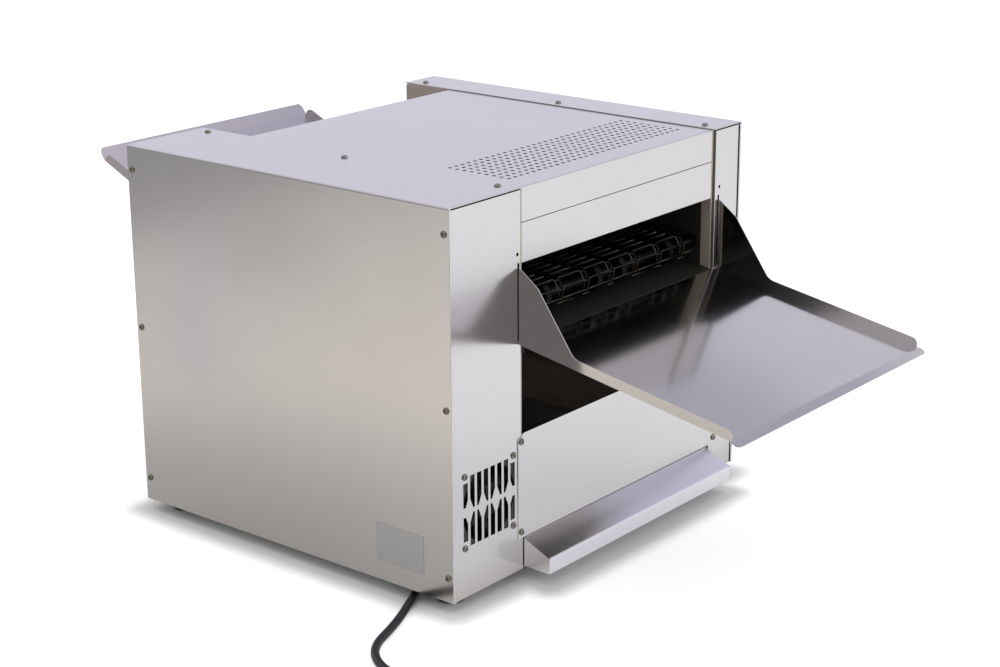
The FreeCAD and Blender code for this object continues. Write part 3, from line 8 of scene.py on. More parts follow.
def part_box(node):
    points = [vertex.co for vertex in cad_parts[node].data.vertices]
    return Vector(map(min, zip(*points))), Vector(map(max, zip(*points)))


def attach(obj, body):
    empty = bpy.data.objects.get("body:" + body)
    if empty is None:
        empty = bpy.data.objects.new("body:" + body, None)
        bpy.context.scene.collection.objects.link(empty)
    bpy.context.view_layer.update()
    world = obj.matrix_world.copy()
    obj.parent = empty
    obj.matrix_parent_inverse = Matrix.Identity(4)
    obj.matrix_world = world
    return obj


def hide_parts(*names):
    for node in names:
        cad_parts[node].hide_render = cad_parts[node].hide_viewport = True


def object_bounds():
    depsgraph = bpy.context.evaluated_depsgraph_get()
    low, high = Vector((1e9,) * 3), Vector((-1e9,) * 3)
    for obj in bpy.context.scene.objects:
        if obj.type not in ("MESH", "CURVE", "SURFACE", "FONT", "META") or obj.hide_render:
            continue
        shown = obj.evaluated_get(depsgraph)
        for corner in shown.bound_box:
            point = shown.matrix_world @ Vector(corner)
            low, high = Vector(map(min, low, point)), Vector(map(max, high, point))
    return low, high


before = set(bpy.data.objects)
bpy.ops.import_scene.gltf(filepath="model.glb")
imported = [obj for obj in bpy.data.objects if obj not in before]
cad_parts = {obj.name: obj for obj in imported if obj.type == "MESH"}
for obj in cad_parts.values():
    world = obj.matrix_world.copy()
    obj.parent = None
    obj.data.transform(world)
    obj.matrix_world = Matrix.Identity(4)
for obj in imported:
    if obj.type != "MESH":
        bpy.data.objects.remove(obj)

cad_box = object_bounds()

# Camera
# A long lens about two metres off the rear right corner and a little above the top, placed so
# that the cabinet's edges fall where the photograph has them.
side_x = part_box("right_side_cover")[1].x
rear_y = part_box("right_side_cover")[1].y
film_width = 36.0
focal_length = 74.51
camera_beside = 1.3372
camera_behind = 1.149
camera_height = 0.8377
camera_forward = Vector((-0.7381, -0.6027, -0.3032))
camera_roll = Quaternion((0, 0, 1), math.radians(-0.3215))
camera_lens = bpy.data.cameras.new("studio_camera")
camera_lens.sensor_width = film_width
camera_lens.lens = focal_length
camera = bpy.data.objects.new("studio_camera", camera_lens)
camera.location = (side_x + camera_beside, rear_y + camera_behind, camera_height)
camera.rotation_mode = "QUATERNION"
camera.rotation_quaternion = camera_forward.to_track_quat("-Z", "Y") @ camera_roll
bpy.context.collection.objects.link(camera)
bpy.context.scene.camera = camera
bpy.context.scene.view_settings.view_transform = "Standard"


# Studio
# A white floor in a white room, lit evenly from all round and by a broad lamp overhead. Grey
# cards out of view stand beside the controls side, as a photographer sets them to shade steel.
def srgb(code):
    """The linear colour that a shader takes for a hex colour as the eye sees it."""
    shares = [int(code[at:at + 2], 16) / 255 for at in (1, 3, 5)]
    return [s / 12.92 if s <= 0.04045 else ((s + 0.055) / 1.055) ** 2.4 for s in shares] + [1.0]


def add_node(tree, kind, settings={}, inputs={}):
    """One node with its settings, and its inputs as values or as links from other nodes."""
    node = tree.nodes.new(kind)
    for name, value in settings.items():
        setattr(node, name, value)
    for key, value in inputs.items():
        if isinstance(value, bpy.types.NodeSocket):
            tree.links.new(value, node.inputs[key])
        else:
            node.inputs[key].default_value = value
    return node


def soft_lamp(name, place, target, width, height, watts, colour):
    lamp_light = bpy.data.lights.new(name, "AREA")
    lamp_light.shape = "RECTANGLE"
    lamp_light.size = width
    lamp_light.size_y = height
    lamp_light.energy = watts
    lamp_light.color = srgb(colour)[:3]
    lamp = bpy.data.objects.new(name, lamp_light)
    lamp.location = place
    lamp.rotation_mode = "QUATERNION"
    lamp.rotation_quaternion = (Vector(target) - Vector(place)).to_track_quat("-Z", "Y")
    bpy.context.collection.objects.link(lamp)


room_light = 0.72
floor_size = 14.0
# What the floor gives off to the eye, and how far its full shadow and its fading shadow reach
floor_glow = 0.50
full_shadow_reach = 0.004
shadow_reach = 0.034
# What it gives off in steel: close by, further out at the side, out in front, and at the rear
mirrored_white = "#C4C4C4"
near_glow = 0.15
side_glow = 0.455
near_reach = 0.10
side_reach = 0.50
front_share = 0.60
front_far_y = -1.10
front_near_y = -0.30
rear_glow = 0.65
rear_blend_front = 0.06
rear_blend_back = 0.09

# The eye sees the room pure white. Steel and glass see it as bright, and a little lavender.
room = bpy.data.worlds.new("white_room")
room.use_nodes = True
room_tree = room.node_tree
room_tree.nodes.clear()
room_rays = add_node(room_tree, "ShaderNodeLightPath").outputs
room_mirrored = add_node(room_tree, "ShaderNodeMath", {"operation": "MAXIMUM"},
                         {0: room_rays["Is Glossy Ray"], 1: room_rays["Is Transmission Ray"]})
room_seen = add_node(room_tree, "ShaderNodeMath", {"operation": "MAXIMUM"},
                     {0: room_rays["Is Camera Ray"], 1: room_mirrored.outputs[0]})
room_strength = add_node(room_tree, "ShaderNodeMath", {"operation": "MULTIPLY_ADD"},
                         {0: room_seen.outputs[0], 1: 1.0 - room_light, 2: room_light})
room_colour = add_node(room_tree, "ShaderNodeMix", {"data_type": "RGBA"},
                       {0: room_mirrored.outputs[0], 6: srgb("#FFFFFF"), 7: srgb("#EBEAFB")})
room_glow = add_node(room_tree, "ShaderNodeBackground", {},
                     {"Color": room_colour.outputs[2], "Strength": room_strength.outputs[0]})
add_node(room_tree, "ShaderNodeOutputWorld", {}, {"Surface": room_glow.outputs[0]})
bpy.context.scene.world = room

bpy.ops.object.select_all(action="DESELECT")
bpy.ops.mesh.primitive_plane_add(size=floor_size)
floor = bpy.context.active_object
floor.name = "studio_floor"
# White paper. To the eye it is lifted to white beyond the shadow that lies close round the
# cabinet and the crumb tray's lip. In steel it is darker by the cabinet, warm at the side, and
# cool and bright behind the discharge end.
floor_paper = bpy.data.materials.new("white_background_paper")
floor_paper.use_nodes = True
floor_tree = floor_paper.node_tree
floor_tree.nodes.clear()
floor_rays = add_node(floor_tree, "ShaderNodeLightPath").outputs
floor_place = add_node(floor_tree, "ShaderNodeSeparateXYZ", {},
                       {0: add_node(floor_tree, "ShaderNodeTexCoord").outputs["Object"]}).outputs
floor_mirrored = add_node(floor_tree, "ShaderNodeMath", {"operation": "MAXIMUM"},
                          {0: floor_rays["Is Glossy Ray"], 1: floor_rays["Is Transmission Ray"]})
footprints = [(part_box("left_side_cover")[0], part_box("right_side_cover")[1]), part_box("crumb_tray")]
distances = []
for low, high in footprints:
    spot = add_node(floor_tree, "ShaderNodeTexCoord").outputs["Object"]
    for operation, amount in (("SUBTRACT", (low + high) / 2), ("ABSOLUTE", (0, 0, 0)),
                              ("SUBTRACT", (*((high - low) / 2).xy, 1)), ("MAXIMUM", (0, 0, 0))):
        spot = add_node(floor_tree, "ShaderNodeVectorMath", {"operation": operation},
                        {0: spot, 1: amount}).outputs[0]
    distances.append(add_node(floor_tree, "ShaderNodeVectorMath", {"operation": "LENGTH"},
                              {0: spot}).outputs["Value"])
floor_gap = add_node(floor_tree, "ShaderNodeMath", {"operation": "MINIMUM"},
                     {0: distances[0], 1: distances[1]})
floor_to_eye = add_node(floor_tree, "ShaderNodeMapRange", {"interpolation_type": "SMOOTHSTEP"},
                        {"Value": floor_gap.outputs[0], "From Min": full_shadow_reach,
                         "From Max": shadow_reach, "To Max": floor_glow})
near_to_far = add_node(floor_tree, "ShaderNodeMapRange", {"interpolation_type": "SMOOTHSTEP"},
                       {"Value": floor_gap.outputs[0], "From Min": near_reach,
                        "From Max": side_reach, "To Min": near_glow, "To Max": side_glow})
front_to_back = add_node(floor_tree, "ShaderNodeMapRange", {},
                         {"Value": floor_place["Y"], "From Min": front_far_y,
                          "From Max": front_near_y, "To Min": front_share, "To Max": 1.0})
side_lift = add_node(floor_tree, "ShaderNodeMath", {"operation": "MULTIPLY"},
                     {0: near_to_far.outputs[0], 1: front_to_back.outputs[0]})
behind = add_node(floor_tree, "ShaderNodeMapRange", {"interpolation_type": "SMOOTHSTEP"},
                  {"Value": floor_place["Y"], "From Min": rear_y - rear_blend_front,
                   "From Max": rear_y + rear_blend_back})
floor_lift = add_node(floor_tree, "ShaderNodeMix", {},
                      {0: behind.outputs[0], 2: side_lift.outputs[0], 3: rear_glow})
floor_in_steel = add_node(floor_tree, "ShaderNodeMath", {"operation": "MULTIPLY"},
                          {0: floor_mirrored.outputs[0], 1: floor_lift.outputs[0]})
floor_strength = add_node(floor_tree, "ShaderNodeMath", {"operation": "MULTIPLY_ADD"},
                          {0: floor_rays["Is Camera Ray"], 1: floor_to_eye.outputs[0],
                           2: floor_in_steel.outputs[0]})
mirrored_tint = add_node(floor_tree, "ShaderNodeMix", {"data_type": "RGBA"},
                         {0: behind.outputs[0], 6: srgb("#FFF5EA"), 7: srgb("#F1F4FF")})
floor_tint = add_node(floor_tree, "ShaderNodeMix", {"data_type": "RGBA"},
                      {0: floor_mirrored.outputs[0], 6: srgb("#FFFFFF"),
                       7: mirrored_tint.outputs[2]})
floor_colour = add_node(floor_tree, "ShaderNodeMix", {"data_type": "RGBA"},
                        {0: floor_mirrored.outputs[0], 6: srgb("#F5F5F5"), 7: srgb(mirrored_white)})
floor_matt = add_node(floor_tree, "ShaderNodeBsdfDiffuse", {}, {"Color": floor_colour.outputs[2]})
floor_light = add_node(floor_tree, "ShaderNodeEmission", {},
                       {"Color": floor_tint.outputs[2], "Strength": floor_strength.outputs[0]})
floor_sum = add_node(floor_tree, "ShaderNodeAddShader", {},
                     {0: floor_matt.outputs[0], 1: floor_light.outputs[0]})
add_node(floor_tree, "ShaderNodeOutputMaterial", {}, {"Surface": floor_sum.outputs[0]})
floor.data.materials.append(floor_paper)


def grey_card(name, corners, colour):
    """A card that only steel and glass see. It sheds no light and casts no shadow."""
    sheet = bpy.data.meshes.new(name)
    sheet.from_pydata(corners, [], [tuple(range(len(corners)))])
    card = bpy.data.objects.new(name, sheet)
    bpy.context.collection.objects.link(card)
    for kind in ("visible_camera", "visible_diffuse", "visible_transmission", "visible_shadow"):
        setattr(card, kind, False)
    paint = bpy.data.materials.new(name)
    paint.use_nodes = True
    paint.node_tree.nodes.clear()
    glow = add_node(paint.node_tree, "ShaderNodeEmission", {},
                    {"Color": srgb(colour), "Strength": 1.0})
    add_node(paint.node_tree, "ShaderNodeOutputMaterial", {}, {"Surface": glow.outputs[0]})
    card.data.materials.append(paint)


# Shades the far top corner of the controls side
grey_card("side_shade_card", colour="#A8A7AC", corners=[
    (0.75, -1.15, 0.0), (2.6, -1.15, 0.0), (2.6, -1.15, 1.6), (0.75, -1.15, 1.6)])
# Darkens the outer face of the near tray wing, which mirrors the floor by way of the column
grey_card("wing_shade_card", colour="#9B979D", corners=[
    (0.45, 0.34, 0.001), (1.7, 0.34, 0.001), (1.7, 1.7, 0.001), (0.45, 1.7, 0.001)])
# A paler and a darker strip of floor, which stand as faint upright bands in the side's front half
grey_card("pale_band_card", colour="#DADBE6", corners=[
    (0.55, -0.551, 0.002), (1.08, -1.149, 0.002), (1.10, -1.065, 0.002), (0.55, -0.468, 0.002)])
grey_card("dark_band_card", colour="#CCC7C7", corners=[
    (0.90, -0.828, 0.002), (1.15, -1.098, 0.002), (1.22, -0.975, 0.002), (0.95, -0.710, 0.002)])
# Shades the near corner of the discharge tray from the sky over the cabinet
grey_card("tray_shade_card", colour="#C9CADF", corners=[
    (-1.85, -1.3, 1.30), (-1.85, 0.6, 1.30), (-1.85, 0.6, 2.5), (-1.85, -1.3, 2.5)])
# The dark studio behind the camera, which the rounded folds of the cabinet pick up
grey_card("camera_shade_card", colour="#3A393C", corners=[
    (3.1, 0.9, 0.0), (1.1, 3.3, 0.0), (1.1, 3.3, 2.6), (3.1, 0.9, 2.6)])
soft_lamp("overhead_softbox", place=(-0.2, 0.2, 2.6), target=(0, 0, 0), width=2.4, height=2.4,
          watts=14.0, colour="#F4F4FF")
soft_lamp("rear_softbox", place=(-0.9, 2.6, 1.5), target=(0, 0, 0.2), width=1.8, height=1.4,
          watts=16.0, colour="#FFFFFF")


# Power cord
# A three-core lead in a black rubber jacket, 8 mm thick and 1.65 m long. It leaves its gland in
# the recess under the rear right corner, drops to the counter and runs out to the side, where
# the spare length is wound in a flat coil.
def new_finish(name, roughness, metallic=0.0):
    """A material with one shader, its node tree and the place on the piece in metres."""
    material = bpy.data.materials.new(name)
    material.use_nodes = True
    tree = material.node_tree
    tree.nodes.clear()
    shader = add_node(tree, "ShaderNodeBsdfPrincipled", {},
                      {"Roughness": roughness, "Metallic": metallic})
    add_node(tree, "ShaderNodeOutputMaterial", {}, {"Surface": shader.outputs[0]})
    return material, tree, shader, add_node(tree, "ShaderNodeTexCoord").outputs["Object"]


def moulded_finish(name, colour, worn, roughness, grain):
    """Plastic or rubber with an even grain, its size in metres, and a cloudy wear over it."""
    cloud_size = grain * 60
    gloss_swing = 0.08
    pit_depth = grain * 0.2
    material, tree, shader, place = new_finish(name, roughness)
    pits = add_node(tree, "ShaderNodeTexNoise", {},
                    {"Vector": place, "Scale": 1 / grain, "Detail": 2.0})
    clouds = add_node(tree, "ShaderNodeTexNoise", {},
                      {"Vector": place, "Scale": 1 / cloud_size, "Detail": 3.0})
    handled = add_node(tree, "ShaderNodeMapRange", {},
                       {"Value": clouds.outputs[0], "From Min": 0.35, "From Max": 0.75})
    tint = add_node(tree, "ShaderNodeMix", {"data_type": "RGBA"},
                    {0: handled.outputs[0], 6: srgb(colour), 7: srgb(worn)})
    gloss = add_node(tree, "ShaderNodeMapRange", {},
                     {"Value": pits.outputs[0], "To Min": roughness - gloss_swing,
                      "To Max": roughness + gloss_swing})
    relief = add_node(tree, "ShaderNodeBump", {},
                      {"Strength": 0.3, "Distance": pit_depth, "Height": pits.outputs[0]})
    tree.links.new(tint.outputs[2], shader.inputs["Base Color"])
    tree.links.new(gloss.outputs[0], shader.inputs["Roughness"])
    tree.links.new(relief.outputs[0], shader.inputs["Normal"])
    return material


cord_thickness = 0.008
# Distance in from the right side, distance in front of the rear face, and height
cord_route = [
    (0.0660, 0.0650, 0.0240),
    (0.0510, 0.0650, 0.0240),
    (0.0354, 0.0636, 0.0189),
    (0.0224, 0.0608, 0.0092),
    (0.0078, 0.0549, 0.0043),
    (-0.0140, 0.0448, 0.0043),
    (-0.0372, 0.0330, 0.0043),
    (-0.0650, 0.0218, 0.0043),
    (-0.0954, 0.0119, 0.0043),
    (-0.1153, -0.0048, 0.0043),
    (-0.1275, -0.0278, 0.0043),
    (-0.1302, -0.0537, 0.0043),
    (-0.1230, -0.0787, 0.0043),
    (-0.1081, -0.0975, 0.0043),
]
coil_radius = 0.054
coil_step = 0.0043
coil_climb = 0.0086
coil_lead_in = 0.008
coil_lead_out = 0.024
half_turns_out = 4
half_turn_points = 8

up = Vector((0, 0, 1))
cord_points = [Vector((side_x - inset, rear_y - front, height))
               for inset, front, height in cord_route]
heading = (cord_points[-1] - cord_points[-2]).normalized()
turn_start = cord_points[-1] + heading * coil_lead_in
cord_points.append(turn_start)
coil_center = turn_start + heading.cross(up) * coil_radius
lower_turns = [(coil_radius - coil_step * turn, 0.0) for turn in range(half_turns_out)]
climbing_turn = [(coil_radius - coil_step * half_turns_out, coil_climb)]
# The line runs inside its points, so they stand this much further out than the turn itself
point_spread = 1 / math.cos(math.pi / half_turn_points / 2)
for radius, rise in lower_turns + climbing_turn + lower_turns[::-1]:
    sideways = heading.cross(up)
    turn_center = turn_start + sideways * radius
    for number in range(half_turn_points):
        share = (number + 0.5) / half_turn_points
        round_turn = heading * math.sin(math.pi * share) - sideways * math.cos(math.pi * share)
        cord_points.append(turn_center + round_turn * radius * point_spread + up * rise * share)
    turn_start = turn_start + sideways * 2 * radius + up * rise
    heading = -heading
plug_start = turn_start + heading * coil_lead_out
cord_points += [turn_start, plug_start]

cord_line = bpy.data.curves.new("mains_lead", "CURVE")
cord_line.dimensions = "3D"
cord_line.bevel_depth = cord_thickness / 2
cord_line.bevel_resolution = 5
cord_line.use_fill_caps = True
cord_spline = cord_line.splines.new("NURBS")
cord_spline.points.add(len(cord_points) - 1)
for control, place in zip(cord_spline.points, cord_points):
    control.co = (*place, 1.0)
cord_spline.order_u = 3
cord_spline.use_endpoint_u = True
cord_spline.resolution_u = 6
mains_lead = bpy.data.objects.new("mains_lead", cord_line)
bpy.context.collection.objects.link(mains_lead)
# Extruded rubber jacket: near black and dull, with a soft sheen and a fine drawn texture
cord_jacket = moulded_finish("extruded_black_rubber", "#131314", "#1E1E20",
                             roughness=0.42, grain=0.0006)
mains_lead.data.materials.append(cord_jacket)
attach(mains_lead, "cabinet")
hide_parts("power_cord", "cord_coil")


# Plug
# A three-pin plug moulded on to the cord in the same black compound, with grip ribs on its two
# sides, a ribbed strain relief behind it, and pins of nickelled brass.
def take(piece):
    """Selects one piece alone and makes it the active one."""
    bpy.ops.object.select_all(action="DESELECT")
    piece.select_set(True)
    bpy.context.view_layer.objects.active = piece


weld_distance = 0.000002
crease_angle = math.radians(35)


def turned(name, profile, steps):
    """A piece turned about the Z axis, from (radius, height) points along its outline."""
    outline = bpy.data.meshes.new(name)
    edges = [(number, number + 1) for number in range(len(profile) - 1)]
    outline.from_pydata([(radius, 0, height) for radius, height in profile], edges, [])
    piece = bpy.data.objects.new(name, outline)
    bpy.context.collection.objects.link(piece)
    take(piece)
    bpy.ops.object.mode_set(mode="EDIT")
    bpy.ops.mesh.select_all(action="SELECT")
    bpy.ops.mesh.spin(steps=steps, angle=2 * math.pi, center=(0, 0, 0), axis=(0, 0, 1))
    bpy.ops.mesh.select_all(action="SELECT")
    bpy.ops.mesh.remove_doubles(threshold=weld_distance)
    bpy.ops.mesh.normals_make_consistent(inside=False)
    bpy.ops.object.mode_set(mode="OBJECT")
    bpy.ops.object.shade_smooth_by_angle(angle=crease_angle)
    return piece


def eased_block(name, size, center, ease, segments=2, edges=None):
    """A block with eased edges: all of them, or those that run along one axis, 0, 1 or 2."""
    bpy.ops.object.select_all(action="DESELECT")
    bpy.ops.mesh.primitive_cube_add(size=1)
    piece = bpy.context.active_object
    piece.name = name
    piece.data.transform(Matrix.Translation(center) @ Matrix.Diagonal((*size, 1)))
    bpy.ops.object.mode_set(mode="EDIT")
    bpy.ops.mesh.select_all(action="DESELECT")
    bpy.ops.object.mode_set(mode="OBJECT")
    for edge in piece.data.edges:
        first, last = (piece.data.vertices[end].co for end in edge.vertices)
        along = max(range(3), key=lambda axis: abs((first - last)[axis]))
        edge.select = edges is None or along == edges
    bpy.ops.object.mode_set(mode="EDIT")
    bpy.ops.mesh.select_mode(type="EDGE")
    bpy.ops.mesh.bevel(offset=ease, segments=segments, affect="EDGES")
    bpy.ops.object.mode_set(mode="OBJECT")
    bpy.ops.object.shade_smooth_by_angle(angle=crease_angle)
    return piece


def placed(piece, matrix):
    """Moves the mesh itself, so that the object stays at the origin."""
    piece.data.transform(matrix)
    return piece


def joined(name, parts):
    """One piece out of several, each of which keeps its own material."""
    take(parts[0])
    for part in parts[1:]:
        part.select_set(True)
    bpy.ops.object.join()
    parts[0].name = name
    parts[0].data.name = name
    return parts[0]


def coated(material, *parts):
    for part in parts:
        part.data.materials.clear()
        part.data.materials.append(material)
    return parts


plug_relief = 0.030
relief_ribs = 6
relief_thin = 0.0054
relief_spread = 0.0026
relief_thick = 0.0080
groove_depth = 0.0009
plug_body = (0.038, 0.036, 0.0254)
grip_ribs = 5
grip_rib = (0.0022, 0.0010, 0.0080)
grip_start = 0.008
grip_pitch = 0.0045
grip_sink = 0.0002
plug_corner = 0.008
plug_blade = (0.018, 0.0016, 0.0064)
plug_blade_pitch = 0.0127
plug_ground_drop = 0.0075
plug_ground_radius = 0.0024
plug_ground_length = 0.021

lengthways = Matrix.Rotation(math.pi / 2, 4, "Y")
relief_profile = [(0.0, 0.0)]
for rib in range(relief_ribs):
    low = plug_relief * rib / relief_ribs
    crest = relief_thin + relief_spread * rib / relief_ribs
    relief_profile += [(crest, low), (crest, low + 0.0034),
                       (crest - groove_depth, low + 0.0036), (crest - groove_depth, low + 0.0048)]
relief_profile += [(relief_thick, plug_relief), (0.0, plug_relief)]
relief = placed(turned("plug_relief", relief_profile, 32), lengthways)
body_center = Vector((plug_relief + plug_body[0] / 2, 0, 0))
plug_shell = eased_block("plug_shell", plug_body, body_center, plug_corner, 6, edges=0)
grips = []
for side in (-1, 1):
    for rib in range(grip_ribs):
        at = Vector((plug_relief + grip_start + rib * grip_pitch,
                     side * (plug_body[1] / 2 - grip_sink), 0))
        grips.append(eased_block("plug_grip", grip_rib, at, 0.0004))
plug_end = plug_relief + plug_body[0]
pins = []
for side in (-0.5, 0.5):
    at = Vector((plug_end + plug_blade[0] / 2, side * plug_blade_pitch, plug_ground_drop / 2))
    pins.append(eased_block("plug_blade", plug_blade, at, 0.0004))
ground_profile = [(0.0, 0.0), (plug_ground_radius, 0.0),
                  (plug_ground_radius, plug_ground_length - 0.002),
                  (plug_ground_radius * 0.6, plug_ground_length - 0.0005),
                  (0.0, plug_ground_length)]
ground_at = Matrix.Translation((plug_end, 0, -plug_ground_drop))
pins.append(placed(turned("plug_ground_pin", ground_profile, 24), ground_at @ lengthways))
# Moulded flexible PVC: a deep black with a satin face, rubbed a little paler where it is held
plug_pvc = moulded_finish("moulded_black_pvc", "#151516", "#232325",
                          roughness=0.38, grain=0.0008)
coated(plug_pvc, relief, plug_shell, *grips)
# Nickel-plated brass: a pale bright metal, yellower where the plating is rubbed thin
pin_metal, pin_tree, pin_shader, pin_place = new_finish("nickel_plated_brass", 0.22, 1.0)
pin_rub = add_node(pin_tree, "ShaderNodeTexNoise", {},
                   {"Vector": pin_place, "Scale": 900.0, "Detail": 3.0})
pin_tint = add_node(pin_tree, "ShaderNodeMix", {"data_type": "RGBA"},
                    {0: pin_rub.outputs[0], 6: srgb("#C9C4B6"), 7: srgb("#B3A888")})
pin_tree.links.new(pin_tint.outputs[2], pin_shader.inputs["Base Color"])
coated(pin_metal, *pins)
plug = joined("moulded_plug", [plug_shell, relief, *grips, *pins])
across = up.cross(heading)
plug_axes = Matrix((heading, across, up)).transposed().to_4x4()
placed(plug, Matrix.Translation(plug_start) @ plug_axes)
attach(plug, "cabinet")
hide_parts("power_plug")


# Cord tie and gland
# A strap of woven hook-and-loop tape holds the coil's turns together. The gland is a nylon
# fitting with a collar and a long tapered sleeve that grips the cord.
def carry_over(material, *nodes):
    """Gives CAD nodes that keep their own shape a material."""
    for name in nodes:
        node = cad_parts[name]
        for place in node.material_slots:
            place.material = material
        if not node.material_slots:
            node.data.materials.append(material)


tie_width = 0.010
tie_thickness = 0.0002
tie_inner = 0.0362
tie_outer = 0.0592
tie_low = 0.0001
tie_high = 0.0181
tie_round = 0.004
tie_round_steps = 4
tie_direction = (coil_center - plug_start) - up * (coil_center - plug_start).z
tie_direction.normalize()
tie_side = up.cross(tie_direction)
tie_corners = [(tie_outer, tie_high, 0), (tie_inner, tie_high, 1),
               (tie_inner, tie_low, 2), (tie_outer, tie_low, 3)]
tie_line = []
for reach, height, quarter in tie_corners:
    inside = Vector((reach + (-tie_round if quarter in (0, 3) else tie_round),
                     height + (-tie_round if quarter in (0, 1) else tie_round)))
    for step in range(tie_round_steps + 1):
        angle = math.pi / 2 * (quarter + step / tie_round_steps)
        tie_line.append((inside.x + tie_round * math.cos(angle),
                         inside.y + tie_round * math.sin(angle)))
tie_points = []
for reach, height in tie_line:
    for edge in (-0.5, 0.5):
        tie_points.append(Vector((coil_center.x, coil_center.y, height)) + tie_direction * reach
                          + tie_side * edge * tie_width)
tie_count = len(tie_line)
tie_faces = [(2 * n, 2 * n + 1, (2 * n + 3) % (2 * tie_count), (2 * n + 2) % (2 * tie_count))
             for n in range(tie_count)]
tie_mesh = bpy.data.meshes.new("coil_tie")
tie_mesh.from_pydata(tie_points, [], tie_faces)
tie = bpy.data.objects.new("coil_tie", tie_mesh)
bpy.context.collection.objects.link(tie)
take(tie)
bpy.ops.object.mode_set(mode="EDIT")
bpy.ops.mesh.select_all(action="SELECT")
bpy.ops.mesh.normals_make_consistent(inside=False)
bpy.ops.object.mode_set(mode="OBJECT")
tape = tie.modifiers.new("tape", "SOLIDIFY")
tape.thickness = tie_thickness
tape.offset = 0.0
bpy.ops.object.modifier_apply(modifier="tape")
bpy.ops.object.shade_smooth_by_angle(angle=crease_angle)
# Woven nylon tape: charcoal and quite matt
tie_tape = moulded_finish("woven_nylon_tape", "#1B1B1D", "#2B2B2E",
                          roughness=0.8, grain=0.0005)
coated(tie_tape, tie)
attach(tie, "cabinet")
# Moulded nylon: black with a slight sheen
gland_nylon = moulded_finish("moulded_black_nylon", "#161617", "#242426",
                             roughness=0.45, grain=0.0007)
carry_over(gland_nylon, "cord_gland")


# Cabinet sheets
# The pan, covers, columns, headers and panels are folded from 1 mm stainless sheet with a fine
# horizontal grain, and screwed together at their flanges.
def sheet_finish(name, colour, dull, roughness, spread, grain, relief):
    """Rolled sheet whose grain, its spacing in metres, runs level on upright faces and front to
    back on level ones. The colour, the gloss and the surface vary along the grain."""
    grain_stretch = 0.012
    cloud_scale = 9.0
    material, tree, shader, place = new_finish(name, roughness, 1.0)
    axes = add_node(tree, "ShaderNodeSeparateXYZ", {}, {0: place}).outputs
    facing = add_node(tree, "ShaderNodeSeparateXYZ", {},
                      {0: add_node(tree, "ShaderNodeNewGeometry").outputs["Normal"]}).outputs
    level = add_node(tree, "ShaderNodeMath", {"operation": "ABSOLUTE"}, {0: facing[2]}).outputs[0]
    upright = add_node(tree, "ShaderNodeMath", {"operation": "SUBTRACT"},
                       {0: 1.0, 1: level}).outputs[0]
    across_grain = add_node(tree, "ShaderNodeMix", {},
                            {0: level, 2: axes[2], 3: axes[0]}).outputs[0]
    along_grain = add_node(tree, "ShaderNodeMath", {"operation": "MULTIPLY_ADD"},
                           {0: axes[0], 1: upright, 2: axes[1]}).outputs[0]
    short = add_node(tree, "ShaderNodeMath", {"operation": "MULTIPLY"},
                     {0: along_grain, 1: grain_stretch})
    drawn = add_node(tree, "ShaderNodeCombineXYZ", {}, {0: across_grain, 1: short.outputs[0]})
    lines = add_node(tree, "ShaderNodeTexNoise", {},
                     {"Vector": drawn.outputs[0], "Scale": 1 / grain, "Detail": 3.0})
    clouds = add_node(tree, "ShaderNodeTexNoise", {},
                      {"Vector": place, "Scale": cloud_scale, "Detail": 3.0})
    both = add_node(tree, "ShaderNodeMix", {}, {0: 0.5, 2: lines.outputs[0], 3: clouds.outputs[0]})
    tint = add_node(tree, "ShaderNodeMix", {"data_type": "RGBA"},
                    {0: both.outputs[0], 6: srgb(colour), 7: srgb(dull)})
    gloss = add_node(tree, "ShaderNodeMapRange", {},
                     {"Value": both.outputs[0], "From Min": 0.3, "From Max": 0.7,
                      "To Min": roughness - spread, "To Max": roughness + spread})
    scratch = add_node(tree, "ShaderNodeBump", {},
                       {"Strength": 0.5, "Distance": relief, "Height": lines.outputs[0]})
    tree.links.new(tint.outputs[2], shader.inputs["Base Color"])
    tree.links.new(gloss.outputs[0], shader.inputs["Roughness"])
    tree.links.new(scratch.outputs[0], shader.inputs["Normal"])
    return material


# Brushed stainless steel: a cool pale grey that blurs what it reflects. The real grain is about
# 0.2 mm apart and is drawn at 1.1 mm, so that it shows.
cabinet_steel = sheet_finish("brushed_stainless_sheet", "#D4D1CE", "#CBC8C4",
                             roughness=0.20, spread=0.03, grain=0.0011, relief=0.000002)
# Painted shade, with some dust, lies in the seam where each cover's narrow rear flange sits on the
# column
seam_from_side = 0.0040
seam_half_width = 0.0006
seam_depth = 0.0015
seam_below_roof = 0.0060
seam_tree = cabinet_steel.node_tree
seam_shader = seam_tree.nodes["Principled BSDF"]
seam_place = add_node(seam_tree, "ShaderNodeSeparateXYZ", {},
                      {0: add_node(seam_tree, "ShaderNodeTexCoord").outputs["Object"]}).outputs
seam_inset = add_node(seam_tree, "ShaderNodeMath", {"operation": "ABSOLUTE"}, {0: seam_place["X"]})
on_seam = add_node(seam_tree, "ShaderNodeMath", {"operation": "COMPARE"},
                   {0: seam_inset.outputs[0], 1: side_x - seam_from_side, 2: seam_half_width})
at_rear = add_node(seam_tree, "ShaderNodeMath", {"operation": "GREATER_THAN"},
                   {0: seam_place["Y"], 1: rear_y - seam_depth})
below_roof = add_node(seam_tree, "ShaderNodeMath", {"operation": "LESS_THAN"},
                      {0: seam_place["Z"], 1: cad_box[1].z - seam_below_roof})
seam_line = add_node(seam_tree, "ShaderNodeMath", {"operation": "MULTIPLY"},
                     {0: on_seam.outputs[0], 1: at_rear.outputs[0]})
painted_seam_shade_mask = add_node(seam_tree, "ShaderNodeMath", {"operation": "MULTIPLY"},
                     {0: seam_line.outputs[0], 1: below_roof.outputs[0]})
